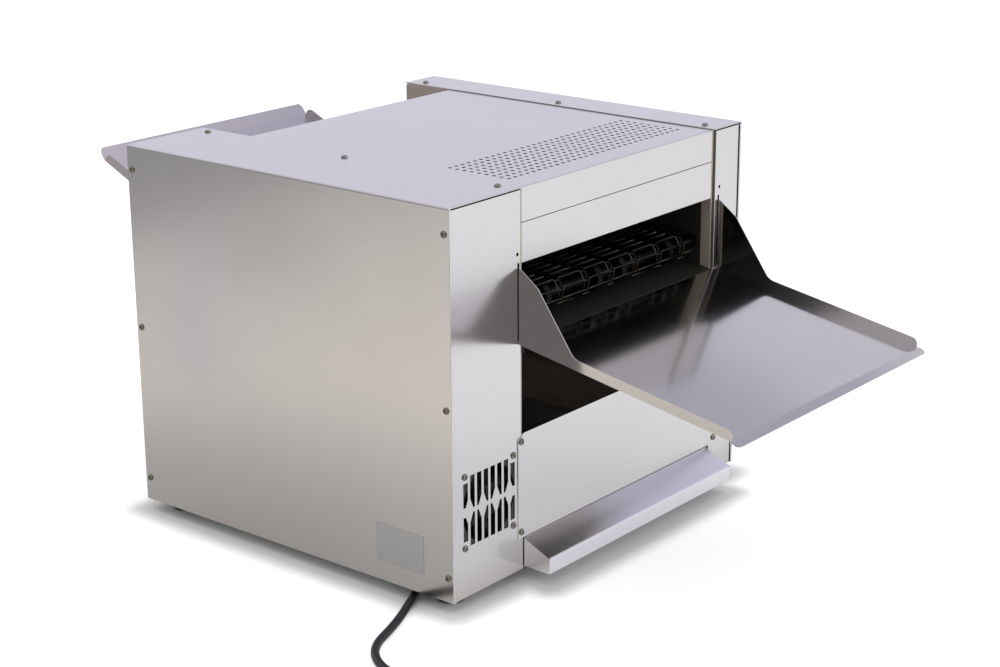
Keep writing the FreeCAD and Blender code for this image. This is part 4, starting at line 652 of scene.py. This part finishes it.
# The seam's dark line is painted shade of the gap, with some dust
painted_seam_shade_tint = add_node(seam_tree, "ShaderNodeMix", {"data_type": "RGBA"},
                     {0: painted_seam_shade_mask.outputs[0], 7: srgb("#77717A"),
                      6: seam_shader.inputs["Base Color"].links[0].from_socket})
seam_tree.links.new(painted_seam_shade_tint.outputs[2], seam_shader.inputs["Base Color"])
carry_over(cabinet_steel, "right_side_cover", "left_side_cover", "top_panel", "rear_header",
           "front_header", "right_rear_column", "left_rear_column", "lower_rear_panel",
           "lower_front_panel", "control_panel", "left_front_column")
# Galvanised sheet: bluish grey and duller, with no polish
zinc_sheet = sheet_finish("galvanised_sheet", "#A9ADB1", "#8C9196",
                          roughness=0.45, spread=0.08, grain=0.004, relief=0.00002)
carry_over(zinc_sheet, "base_pan", "cord_well", "motor_bracket")


# Feet
# Four moulded rubber feet, each with a shouldered skirt and a ring groove, screwed up into
# the pan. Each stands on the rim round its hollow middle.
def solid_boxes(node):
    """The lowest and the highest corner of each separate solid of a CAD node."""
    shape = bmesh.new()
    shape.from_mesh(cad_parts[node].data)
    bmesh.ops.remove_doubles(shape, verts=shape.verts, dist=weld_distance / 2)
    waiting = set(shape.verts)
    boxes = []
    while waiting:
        found = [waiting.pop()]
        for vertex in found:
            for edge in vertex.link_edges:
                near = edge.other_vert(vertex)
                if near in waiting:
                    waiting.remove(near)
                    found.append(near)
        corners = [Vector([pick(vertex.co[axis] for vertex in found) for axis in range(3)])
                   for pick in (min, max)]
        boxes.append(tuple(corners))
    shape.free()
    return boxes


def copies(name, pattern, matrices):
    """One piece made of a pattern set at several places, each copy with its own mesh."""
    parts = []
    for matrix in matrices:
        part = pattern.copy()
        part.data = pattern.data.copy()
        bpy.context.collection.objects.link(part)
        parts.append(placed(part, matrix))
    bpy.data.objects.remove(pattern)
    return joined(name, parts)


foot_boxes = solid_boxes("feet")
foot_radius = (foot_boxes[0][1].x - foot_boxes[0][0].x) / 2
foot_height = foot_boxes[0][1].z
foot_profile = [
    (0.0, 0.003), (0.0045, 0.003), (0.0045, 0.0), (foot_radius - 0.0028, 0.0),
    (foot_radius - 0.0016, 0.0008), (foot_radius - 0.0008, 0.0045), (foot_radius - 0.0016, 0.0052),
    (foot_radius - 0.0016, 0.0062), (foot_radius - 0.0004, 0.0069),
    (foot_radius, foot_height - 0.0004), (foot_radius - 0.0004, foot_height), (0.0, foot_height),
]
foot = turned("rubber_foot", foot_profile, 36)
# Moulded rubber: charcoal black, matt, with dust in its grain
foot_rubber = moulded_finish("moulded_black_rubber", "#1A1A1B", "#2C2B2A",
                             roughness=0.7, grain=0.0009)
coated(foot_rubber, foot)
foot_places = [Matrix.Translation(((low.x + high.x) / 2, (low.y + high.y) / 2, 0))
               for low, high in foot_boxes]
feet = copies("rubber_feet", foot, foot_places)
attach(feet, "cabinet")
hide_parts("feet")


# Screws
# Pan-head machine screws of plated steel with a cross recess. They hold the covers to the
# columns and walls, and the lower panel and the fan to the columns.
head_radius = 0.0034
head_height = 0.0020
shank_radius = 0.0015
shank_length = 0.0040
recess_length = 0.0040
recess_width = 0.0009
recess_depth = 0.0012
# Each screw stopped at its own angle, this many degrees on from the one before
screw_turn = 37
screw_profile = [
    (0.0, -shank_length), (shank_radius, -shank_length), (shank_radius, 0.0), (head_radius, 0.0),
    (head_radius, 0.0006), (head_radius - 0.0003, 0.0011), (head_radius - 0.0010, 0.0016),
    (head_radius - 0.0020, 0.0019), (0.0, head_height),
]
screw = turned("cross_screw", screw_profile, 24)
recess_parts = []
for turn in (0.0, math.pi / 2):
    bar = eased_block("recess_bar", (recess_length, recess_width, recess_depth * 2),
                      Vector((0, 0, head_height)), 0.0001, 1)
    recess_parts.append(placed(bar, Matrix.Rotation(turn, 4, "Z")))
recess = joined("cross_recess", recess_parts)
take(screw)
cut = screw.modifiers.new("recess", "BOOLEAN")
cut.operation = "DIFFERENCE"
cut.solver = "EXACT"
cut.use_self = True
cut.object = recess
bpy.ops.object.modifier_apply(modifier="recess")
bpy.data.objects.remove(recess)
bpy.ops.object.shade_smooth_by_angle(angle=crease_angle)
# Zinc-plated steel with a faint yellow passivation, duller in small random patches
screw_finish = new_finish("yellow_zinc_plated_steel", 0.32, 1.0)
screw_metal, screw_tree, screw_shader, screw_place = screw_finish
screw_rub = add_node(screw_tree, "ShaderNodeTexNoise", {},
                     {"Vector": screw_place, "Scale": 1200.0, "Detail": 3.0})
screw_tint = add_node(screw_tree, "ShaderNodeMix", {"data_type": "RGBA"},
                      {0: screw_rub.outputs[0], 6: srgb("#9C978A"), 7: srgb("#6E6A5C")})
screw_gloss = add_node(screw_tree, "ShaderNodeMapRange", {},
                       {"Value": screw_rub.outputs[0], "To Min": 0.22, "To Max": 0.45})
screw_tree.links.new(screw_tint.outputs[2], screw_shader.inputs["Base Color"])
screw_tree.links.new(screw_gloss.outputs[0], screw_shader.inputs["Roughness"])
coated(screw_metal, screw)


def screw_places(node):
    """Where each screw of a CAD node stands: its axis is its short way, its head outwards."""
    places = []
    for number, (low, high) in enumerate(solid_boxes(node)):
        middle = (low + high) / 2
        axis = min(range(3), key=lambda way: (high - low)[way])
        outward = Vector((0, 0, 0))
        cabinet_middle = (cad_box[0][axis] + cad_box[1][axis]) / 2 if axis == 2 else 0.0
        outward[axis] = 1.0 if middle[axis] > cabinet_middle else -1.0
        under_head = middle + outward * ((high - low)[axis] / 2 - head_height)
        facing = outward.to_track_quat("Z", "Y").to_matrix().to_4x4()
        turn = Matrix.Rotation(math.radians(screw_turn * number), 4, "Z")
        places.append(Matrix.Translation(under_head) @ facing @ turn)
    return places


spare_screw = screw.copy()
spare_screw.data = screw.data.copy()
bpy.context.collection.objects.link(spare_screw)
cover_screws = copies("cover_screw_set", screw, screw_places("cover_screws"))
rear_screws = copies("rear_screw_set", spare_screw, screw_places("rear_screws"))
for screws, node in ((cover_screws, "cover_screws"), (rear_screws, "rear_screws")):
    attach(screws, "cabinet")
    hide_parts(node)


# Oven walls, reflector, chute and rails
# The two walls, the reflector over the elements, the chute under the end of the belt and the
# crumb tray's rails are plain sheet, browned and blackened by heat and crumbs and by painted shade.

# Heat-stained steel: dark brown-black round the elements, partly a dull burnt-on film and partly
# painted shade of the dark oven, and a plain warm grey, partly clean steel and partly painted light,
# low down by the crumb tray, out in front of the oven and at the walls' rear edges
shade_and_stain_low = 0.085
shade_and_stain_front = -0.200
shade_and_stain_rear = 0.160
shade_and_stain_fade = 0.035
oven_steel = sheet_finish("heat_stained_and_shaded_steel", "#3E3C35", "#24231E",
                          roughness=0.42, spread=0.10, grain=0.003, relief=0.000006)
shade_and_stain_tree = oven_steel.node_tree
shade_and_stain_shader = shade_and_stain_tree.nodes["Principled BSDF"]
shade_and_stain_place = add_node(shade_and_stain_tree, "ShaderNodeSeparateXYZ", {},
                       {0: add_node(shade_and_stain_tree, "ShaderNodeTexCoord").outputs["Object"]}).outputs
# Where the openings let light in, the steel is painted pale: painted light
below = add_node(shade_and_stain_tree, "ShaderNodeMapRange", {"interpolation_type": "SMOOTHSTEP"},
                 {"Value": shade_and_stain_place["Z"], "From Min": shade_and_stain_low + shade_and_stain_fade,
                  "From Max": shade_and_stain_low})
ahead = add_node(shade_and_stain_tree, "ShaderNodeMapRange", {"interpolation_type": "SMOOTHSTEP"},
                 {"Value": shade_and_stain_place["Y"], "From Min": shade_and_stain_front + shade_and_stain_fade,
                  "From Max": shade_and_stain_front})
at_edge = add_node(shade_and_stain_tree, "ShaderNodeMath", {"operation": "GREATER_THAN"},
                   {0: shade_and_stain_place["Y"], 1: shade_and_stain_rear})
shade_and_stain_shader.inputs["Metallic"].default_value = 0.25
wiped_and_lit = add_node(shade_and_stain_tree, "ShaderNodeMath", {"operation": "MAXIMUM"},
                 {0: below.outputs[0], 1: ahead.outputs[0]})
unstained_and_lit = add_node(shade_and_stain_tree, "ShaderNodeMath", {"operation": "MAXIMUM"},
                     {0: wiped_and_lit.outputs[0], 1: at_edge.outputs[0]})
# The dark colour is burnt-on film and painted shade of the dark oven, the pale one clean steel and
# painted light
shade_and_stain_tint = add_node(shade_and_stain_tree, "ShaderNodeMix", {"data_type": "RGBA"},
                      {0: unstained_and_lit.outputs[0], 7: srgb("#B4A89C"),
                       6: shade_and_stain_shader.inputs["Base Color"].links[0].from_socket})
shade_and_stain_tree.links.new(shade_and_stain_tint.outputs[2], shade_and_stain_shader.inputs["Base Color"])
carry_over(oven_steel, "right_inner_wall", "left_inner_wall", "upper_reflector", "crumb_tray_rails")
# Scorched steel: the chute under the end of the belt, brown-black all over, partly scorch and
# partly painted shade of the dark oven
scorched_and_shaded_steel = sheet_finish("scorched_and_shaded_chute_steel", "#33312B", "#1F1E1A",
                              roughness=0.45, spread=0.10, grain=0.003, relief=0.000006)
scorched_and_shaded_steel.node_tree.nodes["Principled BSDF"].inputs["Metallic"].default_value = 0.4
carry_over(scorched_and_shaded_steel, "discharge_chute")


# Heating elements
# Six quartz tubes, each with a coil of resistance wire inside, held in a glazed ceramic bush at
# both walls: three under the belt and three over it.
wire_crease_angle = math.radians(50)


def wire_piece(name, paths, radius, sides):
    """Wires of one thickness that follow lists of points, made as one mesh."""
    line = bpy.data.curves.new(name, "CURVE")
    line.dimensions = "3D"
    line.bevel_depth = radius
    line.bevel_resolution = max(0, sides // 2 - 2)
    line.use_fill_caps = True
    for points in paths:
        run = line.splines.new("POLY")
        run.points.add(len(points) - 1)
        for control, place in zip(run.points, points):
            control.co = (*place, 1.0)
    piece = bpy.data.objects.new(name, line)
    bpy.context.collection.objects.link(piece)
    take(piece)
    bpy.ops.object.convert(target="MESH")
    bpy.ops.object.shade_smooth_by_angle(angle=wire_crease_angle)
    return bpy.context.active_object


tube_wall = 0.0010
coil_wire = 0.0004
coil_size = 0.0024
coil_pitch = 0.0040
coil_turn_points = 8
coil_end_gap = 0.01
element_boxes = solid_boxes("heating_elements")
tube_parts = []
coil_paths = []
for low, high in element_boxes:
    tube_radius = (high.z - low.z) / 2
    tube_length = high.x - low.x
    middle = (low + high) / 2
    bore = tube_radius - tube_wall
    tube_profile = [(bore, 0.0), (tube_radius, 0.0), (tube_radius, tube_length),
                    (bore, tube_length), (bore, 0.0)]
    tube = turned("quartz_tube", tube_profile, 24)
    tube_parts.append(placed(tube, Matrix.Translation((low.x, middle.y, middle.z)) @ lengthways))
    turns = int((tube_length - 2 * coil_end_gap) / coil_pitch)
    spiral = []
    for step in range(turns * coil_turn_points + 1):
        angle = 2 * math.pi * step / coil_turn_points
        along = low.x + coil_end_gap + coil_pitch * step / coil_turn_points
        spiral.append((along, middle.y + coil_size * math.cos(angle),
                       middle.z + coil_size * math.sin(angle)))
    coil_paths.append(spiral)
quartz_tubes = joined("quartz_tubes", tube_parts)
# Fused quartz: clear glass with a faint milky haze
quartz, quartz_tree, quartz_shader, quartz_place = new_finish("fused_quartz", 0.12)
quartz_shader.inputs["Transmission Weight"].default_value = 1.0
quartz_shader.inputs["IOR"].default_value = 1.46
quartz_haze = add_node(quartz_tree, "ShaderNodeTexNoise", {},
                       {"Vector": quartz_place, "Scale": 140.0, "Detail": 3.0})
quartz_tint = add_node(quartz_tree, "ShaderNodeMix", {"data_type": "RGBA"},
                       {0: quartz_haze.outputs[0], 6: srgb("#F4F2EE"), 7: srgb("#D8D4CC")})
quartz_tree.links.new(quartz_tint.outputs[2], quartz_shader.inputs["Base Color"])
coated(quartz, quartz_tubes)
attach(quartz_tubes, "cabinet")
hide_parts("heating_elements")
element_coils = wire_piece("element_coils", coil_paths, coil_wire, 4)
# Iron-chromium resistance wire: dark grey, oxidised and matt
coil_metal = sheet_finish("oxidised_resistance_wire", "#5A5450", "#37332F",
                          roughness=0.6, spread=0.1, grain=0.002, relief=0.00001)
coated(coil_metal, element_coils)
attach(element_coils, "cabinet")
# Glazed steatite: off-white with a soft gloss
ceramic = moulded_finish("glazed_ceramic", "#E6E1D6", "#CFC7B6",
                         roughness=0.35, grain=0.0012)
carry_over(ceramic, "element_holders")


# Conveyor belt
# Seventy-six cross wires of stainless spring wire, each kinked forward at seven places to hook
# over the wire ahead of it, so that together they make a flat flexible loop.
belt_pitch = 0.011
belt_teeth = 8
belt_span_pitches = 34
joint_columns = 7
joint_pitch = 0.041
joint_half_width = 0.0034
belt_low, belt_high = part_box("belt_wires")
belt_wire = 0.0010
belt_radius = belt_pitch * belt_teeth / (2 * math.pi)
belt_span = belt_pitch * belt_span_pitches
belt_middle = (belt_low + belt_high) / 2
belt_rear = Vector((belt_middle.x, belt_middle.y + belt_span / 2, belt_middle.z))


def on_belt(across, travel, out):
    """A point of the belt: its place across, how far it has travelled, and how far out it is."""
    bend = math.pi * belt_radius
    radius = belt_radius + out
    travel %= 2 * (belt_span + bend)
    if travel < belt_span:
        return belt_rear + Vector((across, -travel, radius))
    if travel < belt_span + bend:
        turn = (travel - belt_span) / belt_radius
        return belt_rear + Vector((across, -belt_span - radius * math.sin(turn),
                                   radius * math.cos(turn)))
    if travel < 2 * belt_span + bend:
        return belt_rear + Vector((across, travel - bend - 2 * belt_span, -radius))
    turn = (travel - bend - 2 * belt_span) / belt_radius
    return belt_rear + Vector((across, radius * math.sin(turn), -radius * math.cos(turn)))


# Across, along the travel and outwards, for the half of a kink on its left side
kink = [
    (-joint_half_width - 0.0010, 0.0, 0.0),
    (-joint_half_width, 0.0012, -0.0002),
    (-joint_half_width, belt_pitch * 0.55, -0.0011),
    (-joint_half_width + 0.0003, belt_pitch - 0.0004, -0.0021),
    (-joint_half_width + 0.0012, belt_pitch + 0.0018, -0.0010),
]
wire_line = [(-(belt_high.x - belt_low.x) / 2, 0.0, 0.0)]
for column in range(joint_columns):
    column_x = (column - (joint_columns - 1) / 2) * joint_pitch
    wire_line += [(column_x + x, s, n) for x, s, n in kink]
    wire_line += [(column_x - x, s, n) for x, s, n in reversed(kink)]
wire_line.append(((belt_high.x - belt_low.x) / 2, 0.0, 0.0))
wire_count = 2 * belt_span_pitches + belt_teeth
belt_paths = []
for number in range(wire_count):
    start = (number + 0.5) * belt_pitch
    belt_paths.append([on_belt(x, start - s, n) for x, s, n in wire_line])
belt = wire_piece("wire_conveyor_belt", belt_paths, belt_wire, 6)
# Spring wire: steel browned almost to black, partly by heat and partly as painted shade of the
# dark oven, with a few brighter worn patches
belt_metal = sheet_finish("heat_tinted_and_shaded_spring_wire", "#423D35", "#151411",
                          roughness=0.32, spread=0.08, grain=0.004, relief=0.000004)
coated(belt_metal, belt)
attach(belt, "cabinet")
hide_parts("belt_wires", "belt_links")


# Belt shafts, sprockets, bearings and rails
# Ground steel shafts run in flanged bronze bushes in the oven walls and carry toothed steel
# wheels. Two rods on cross bars, blacked by the oven and darkened with painted shade, hold up
# the top run of the belt.
# Ground steel: mid grey, finely ringed, with a thin film of oil
shaft_metal = sheet_finish("ground_steel", "#8E8A84", "#6E6A64",
                           roughness=0.30, spread=0.06, grain=0.002, relief=0.000004)
carry_over(shaft_metal, "motor_shaft", "speed_spindle", "heat_spindle")
# Oven-blacked steel: the same, baked dark brown by the heat and dull, and darkened further
# with painted shade of the dark oven
blacked_and_shaded_metal = sheet_finish("oven_blacked_and_shaded_steel", "#1D1C18", "#12110F",
                         roughness=0.5, spread=0.06, grain=0.002, relief=0.000004)
carry_over(blacked_and_shaded_metal, "drive_shaft", "idler_shaft", "belt_rails")
# Case-hardened steel: nearly black, with a dull face, partly its own and partly painted shade
# of the dark oven
wheel_metal = sheet_finish("hardened_and_shaded_steel", "#1C1B19", "#131211",
                           roughness=0.5, spread=0.06, grain=0.003, relief=0.000006)
carry_over(wheel_metal, "drive_sprockets", "idler_sprockets", "chain_wheel", "motor_wheel")
# Oil-filled sintered bronze: brown-gold and matt
bronze = sheet_finish("sintered_bronze", "#6E5838", "#4C3C26",
                      roughness=0.5, spread=0.06, grain=0.0012, relief=0.00001)
carry_over(bronze, "shaft_bearings")


# Drive
# A gear motor on four posts turns the belt's rear shaft through two equal wheels and a roller
# chain, all in the wide compartment behind the right cover.
# Oiled steel chain: dark, with worn bright edges
chain_metal = sheet_finish("oiled_chain_steel", "#6E6A64", "#3D3A36",
                           roughness=0.36, spread=0.1, grain=0.004, relief=0.00002)
carry_over(chain_metal, "drive_chain")
# Cast aluminium: pale grey and grainy
cast_metal = moulded_finish("die_cast_aluminium", "#A4A6A8", "#8A8C8E",
                            roughness=0.5, grain=0.0012)
carry_over(cast_metal, "gear_motor")


# Cooling fan
# An axial fan of black glass-filled plastic, screwed behind the vent in the right rear column.
# Glass-filled polyester: black, slightly mottled, semi-matt
fan_plastic = moulded_finish("glass_filled_black_plastic", "#18181A", "#28282B",
                             roughness=0.5, grain=0.0010)
carry_over(fan_plastic, "fan_frame", "fan_rotor")


# Trays
# The discharge tray, the feed tray and the crumb tray are folded from smoother stainless sheet.
# The first two hook into slots in the columns, and the crumb tray slides on rails.
# Bright rolled stainless: as pale as the cabinet but smoother, so it mirrors the opening
tray_steel = sheet_finish("bright_rolled_stainless", "#CCC9C4", "#C2BFBA",
                          roughness=0.13, spread=0.015, grain=0.0014, relief=0.000001)
carry_over(tray_steel, "discharge_tray")
# Satin stainless: duller than the discharge tray, rubbed by the food that slides down it
feed_steel = sheet_finish("satin_feed_tray_steel", "#CBC5C5", "#BCB6B6",
                          roughness=0.22, spread=0.03, grain=0.0014, relief=0.000002)
carry_over(feed_steel, "feed_tray")
# Brushed stainless on the crumb tray: the palest of the sheets, blurred like the cabinet's
crumb_steel = sheet_finish("brushed_crumb_tray_steel", "#E6E4E5", "#DAD8DA",
                           roughness=0.20, spread=0.03, grain=0.0011, relief=0.000003)
carry_over(crumb_steel, "crumb_tray")


# Controls
# Two fluted knobs turn the belt speed and heat controls, with the rocker switch and the power
# lamp over them on the front of the wide compartment.
# Black phenolic: deep and glossy
knob_plastic = moulded_finish("moulded_black_phenolic", "#141415", "#202022",
                              roughness=0.28, grain=0.0009)
carry_over(knob_plastic, "speed_knob", "heat_knob")
# Moulded polycarbonate: black and satin, a little duller than the knobs
switch_plastic = moulded_finish("moulded_black_polycarbonate", "#1A1A1C", "#28282B",
                                roughness=0.4, grain=0.0007)
carry_over(switch_plastic, "power_switch", "switch_rocker", "speed_control", "heat_control")
# Coloured acrylic: a glossy deep amber
lamp_amber = moulded_finish("amber_acrylic", "#D9601A", "#B8480E",
                            roughness=0.12, grain=0.0020)
carry_over(lamp_amber, "pilot_lamp")


# Control marks
# The scales round the two knobs, eleven ticks each with a longer one at every fifth, are
# screen-printed on the panel. The ink is drawn a tenth of a millimetre thick.
panel_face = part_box("control_panel")[0].y
scale_radius = 0.0262
scale_sweep = math.radians(270)
scale_steps = 10
tick_width = 0.0007
ink_thickness = 0.0001
tick_long = 0.0042
tick_short = 0.0026
ticks_to_long = 5


def ink_spot(name, size, place, turn=0.0):
    """A flat printed mark on an upright face that looks to the front, turned about that way."""
    mark = eased_block(name, (size[0], ink_thickness, size[1]), Vector((0, 0, 0)), 0.00002, 1)
    return placed(mark, Matrix.Translation(place) @ Matrix.Rotation(turn, 4, "Y"))


dial_parts = []
for knob in ("speed_knob", "heat_knob"):
    knob_low, knob_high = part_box(knob)
    knob_middle = (knob_low + knob_high) / 2
    for step in range(scale_steps + 1):
        turn = scale_sweep * (step / scale_steps - 0.5)
        length = tick_short if step % ticks_to_long else tick_long
        reach = scale_radius + length / 2
        at = Vector((knob_middle.x + reach * math.sin(turn), panel_face - ink_thickness / 2,
                     knob_middle.z + reach * math.cos(turn)))
        dial_parts.append(ink_spot("tick", (tick_width, length), at, turn))
# Screen-printing ink: a dense flat black
dial_ink = moulded_finish("black_screen_ink", "#1B1B1C", "#262627",
                          roughness=0.6, grain=0.0004)
coated(dial_ink, *dial_parts)
dial_marks = joined("dial_marks", dial_parts)
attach(dial_marks, "cabinet")


# Electrical parts
# The contactor, speed board, terminal block and thermal cut-out are screwed to the outer face
# of the right wall, in the wide compartment.
# Moulded polyamide: dark grey and half matt
box_plastic = moulded_finish("moulded_grey_polyamide", "#3A3B3D", "#4A4B4D",
                             roughness=0.5, grain=0.0009)
carry_over(box_plastic, "contactor", "terminal_block", "thermal_cutout")
# Glass-fibre board under solder mask: deep green with a soft gloss
board_green = moulded_finish("solder_masked_board", "#1F4A33", "#2D5F42",
                             roughness=0.35, grain=0.0012)
carry_over(board_green, "speed_board")


# Blank plate
# A thin bare aluminium plate, riveted low down at the rear of the right cover. Nothing is
# printed on it.
# Satin anodised aluminium: an even pale grey that mirrors nothing
plate_metal = sheet_finish("satin_anodised_aluminium", "#C9C9C8", "#BCBCBA",
                           roughness=0.4, spread=0.06, grain=0.001, relief=0.000008)
carry_over(plate_metal, "rating_plate")
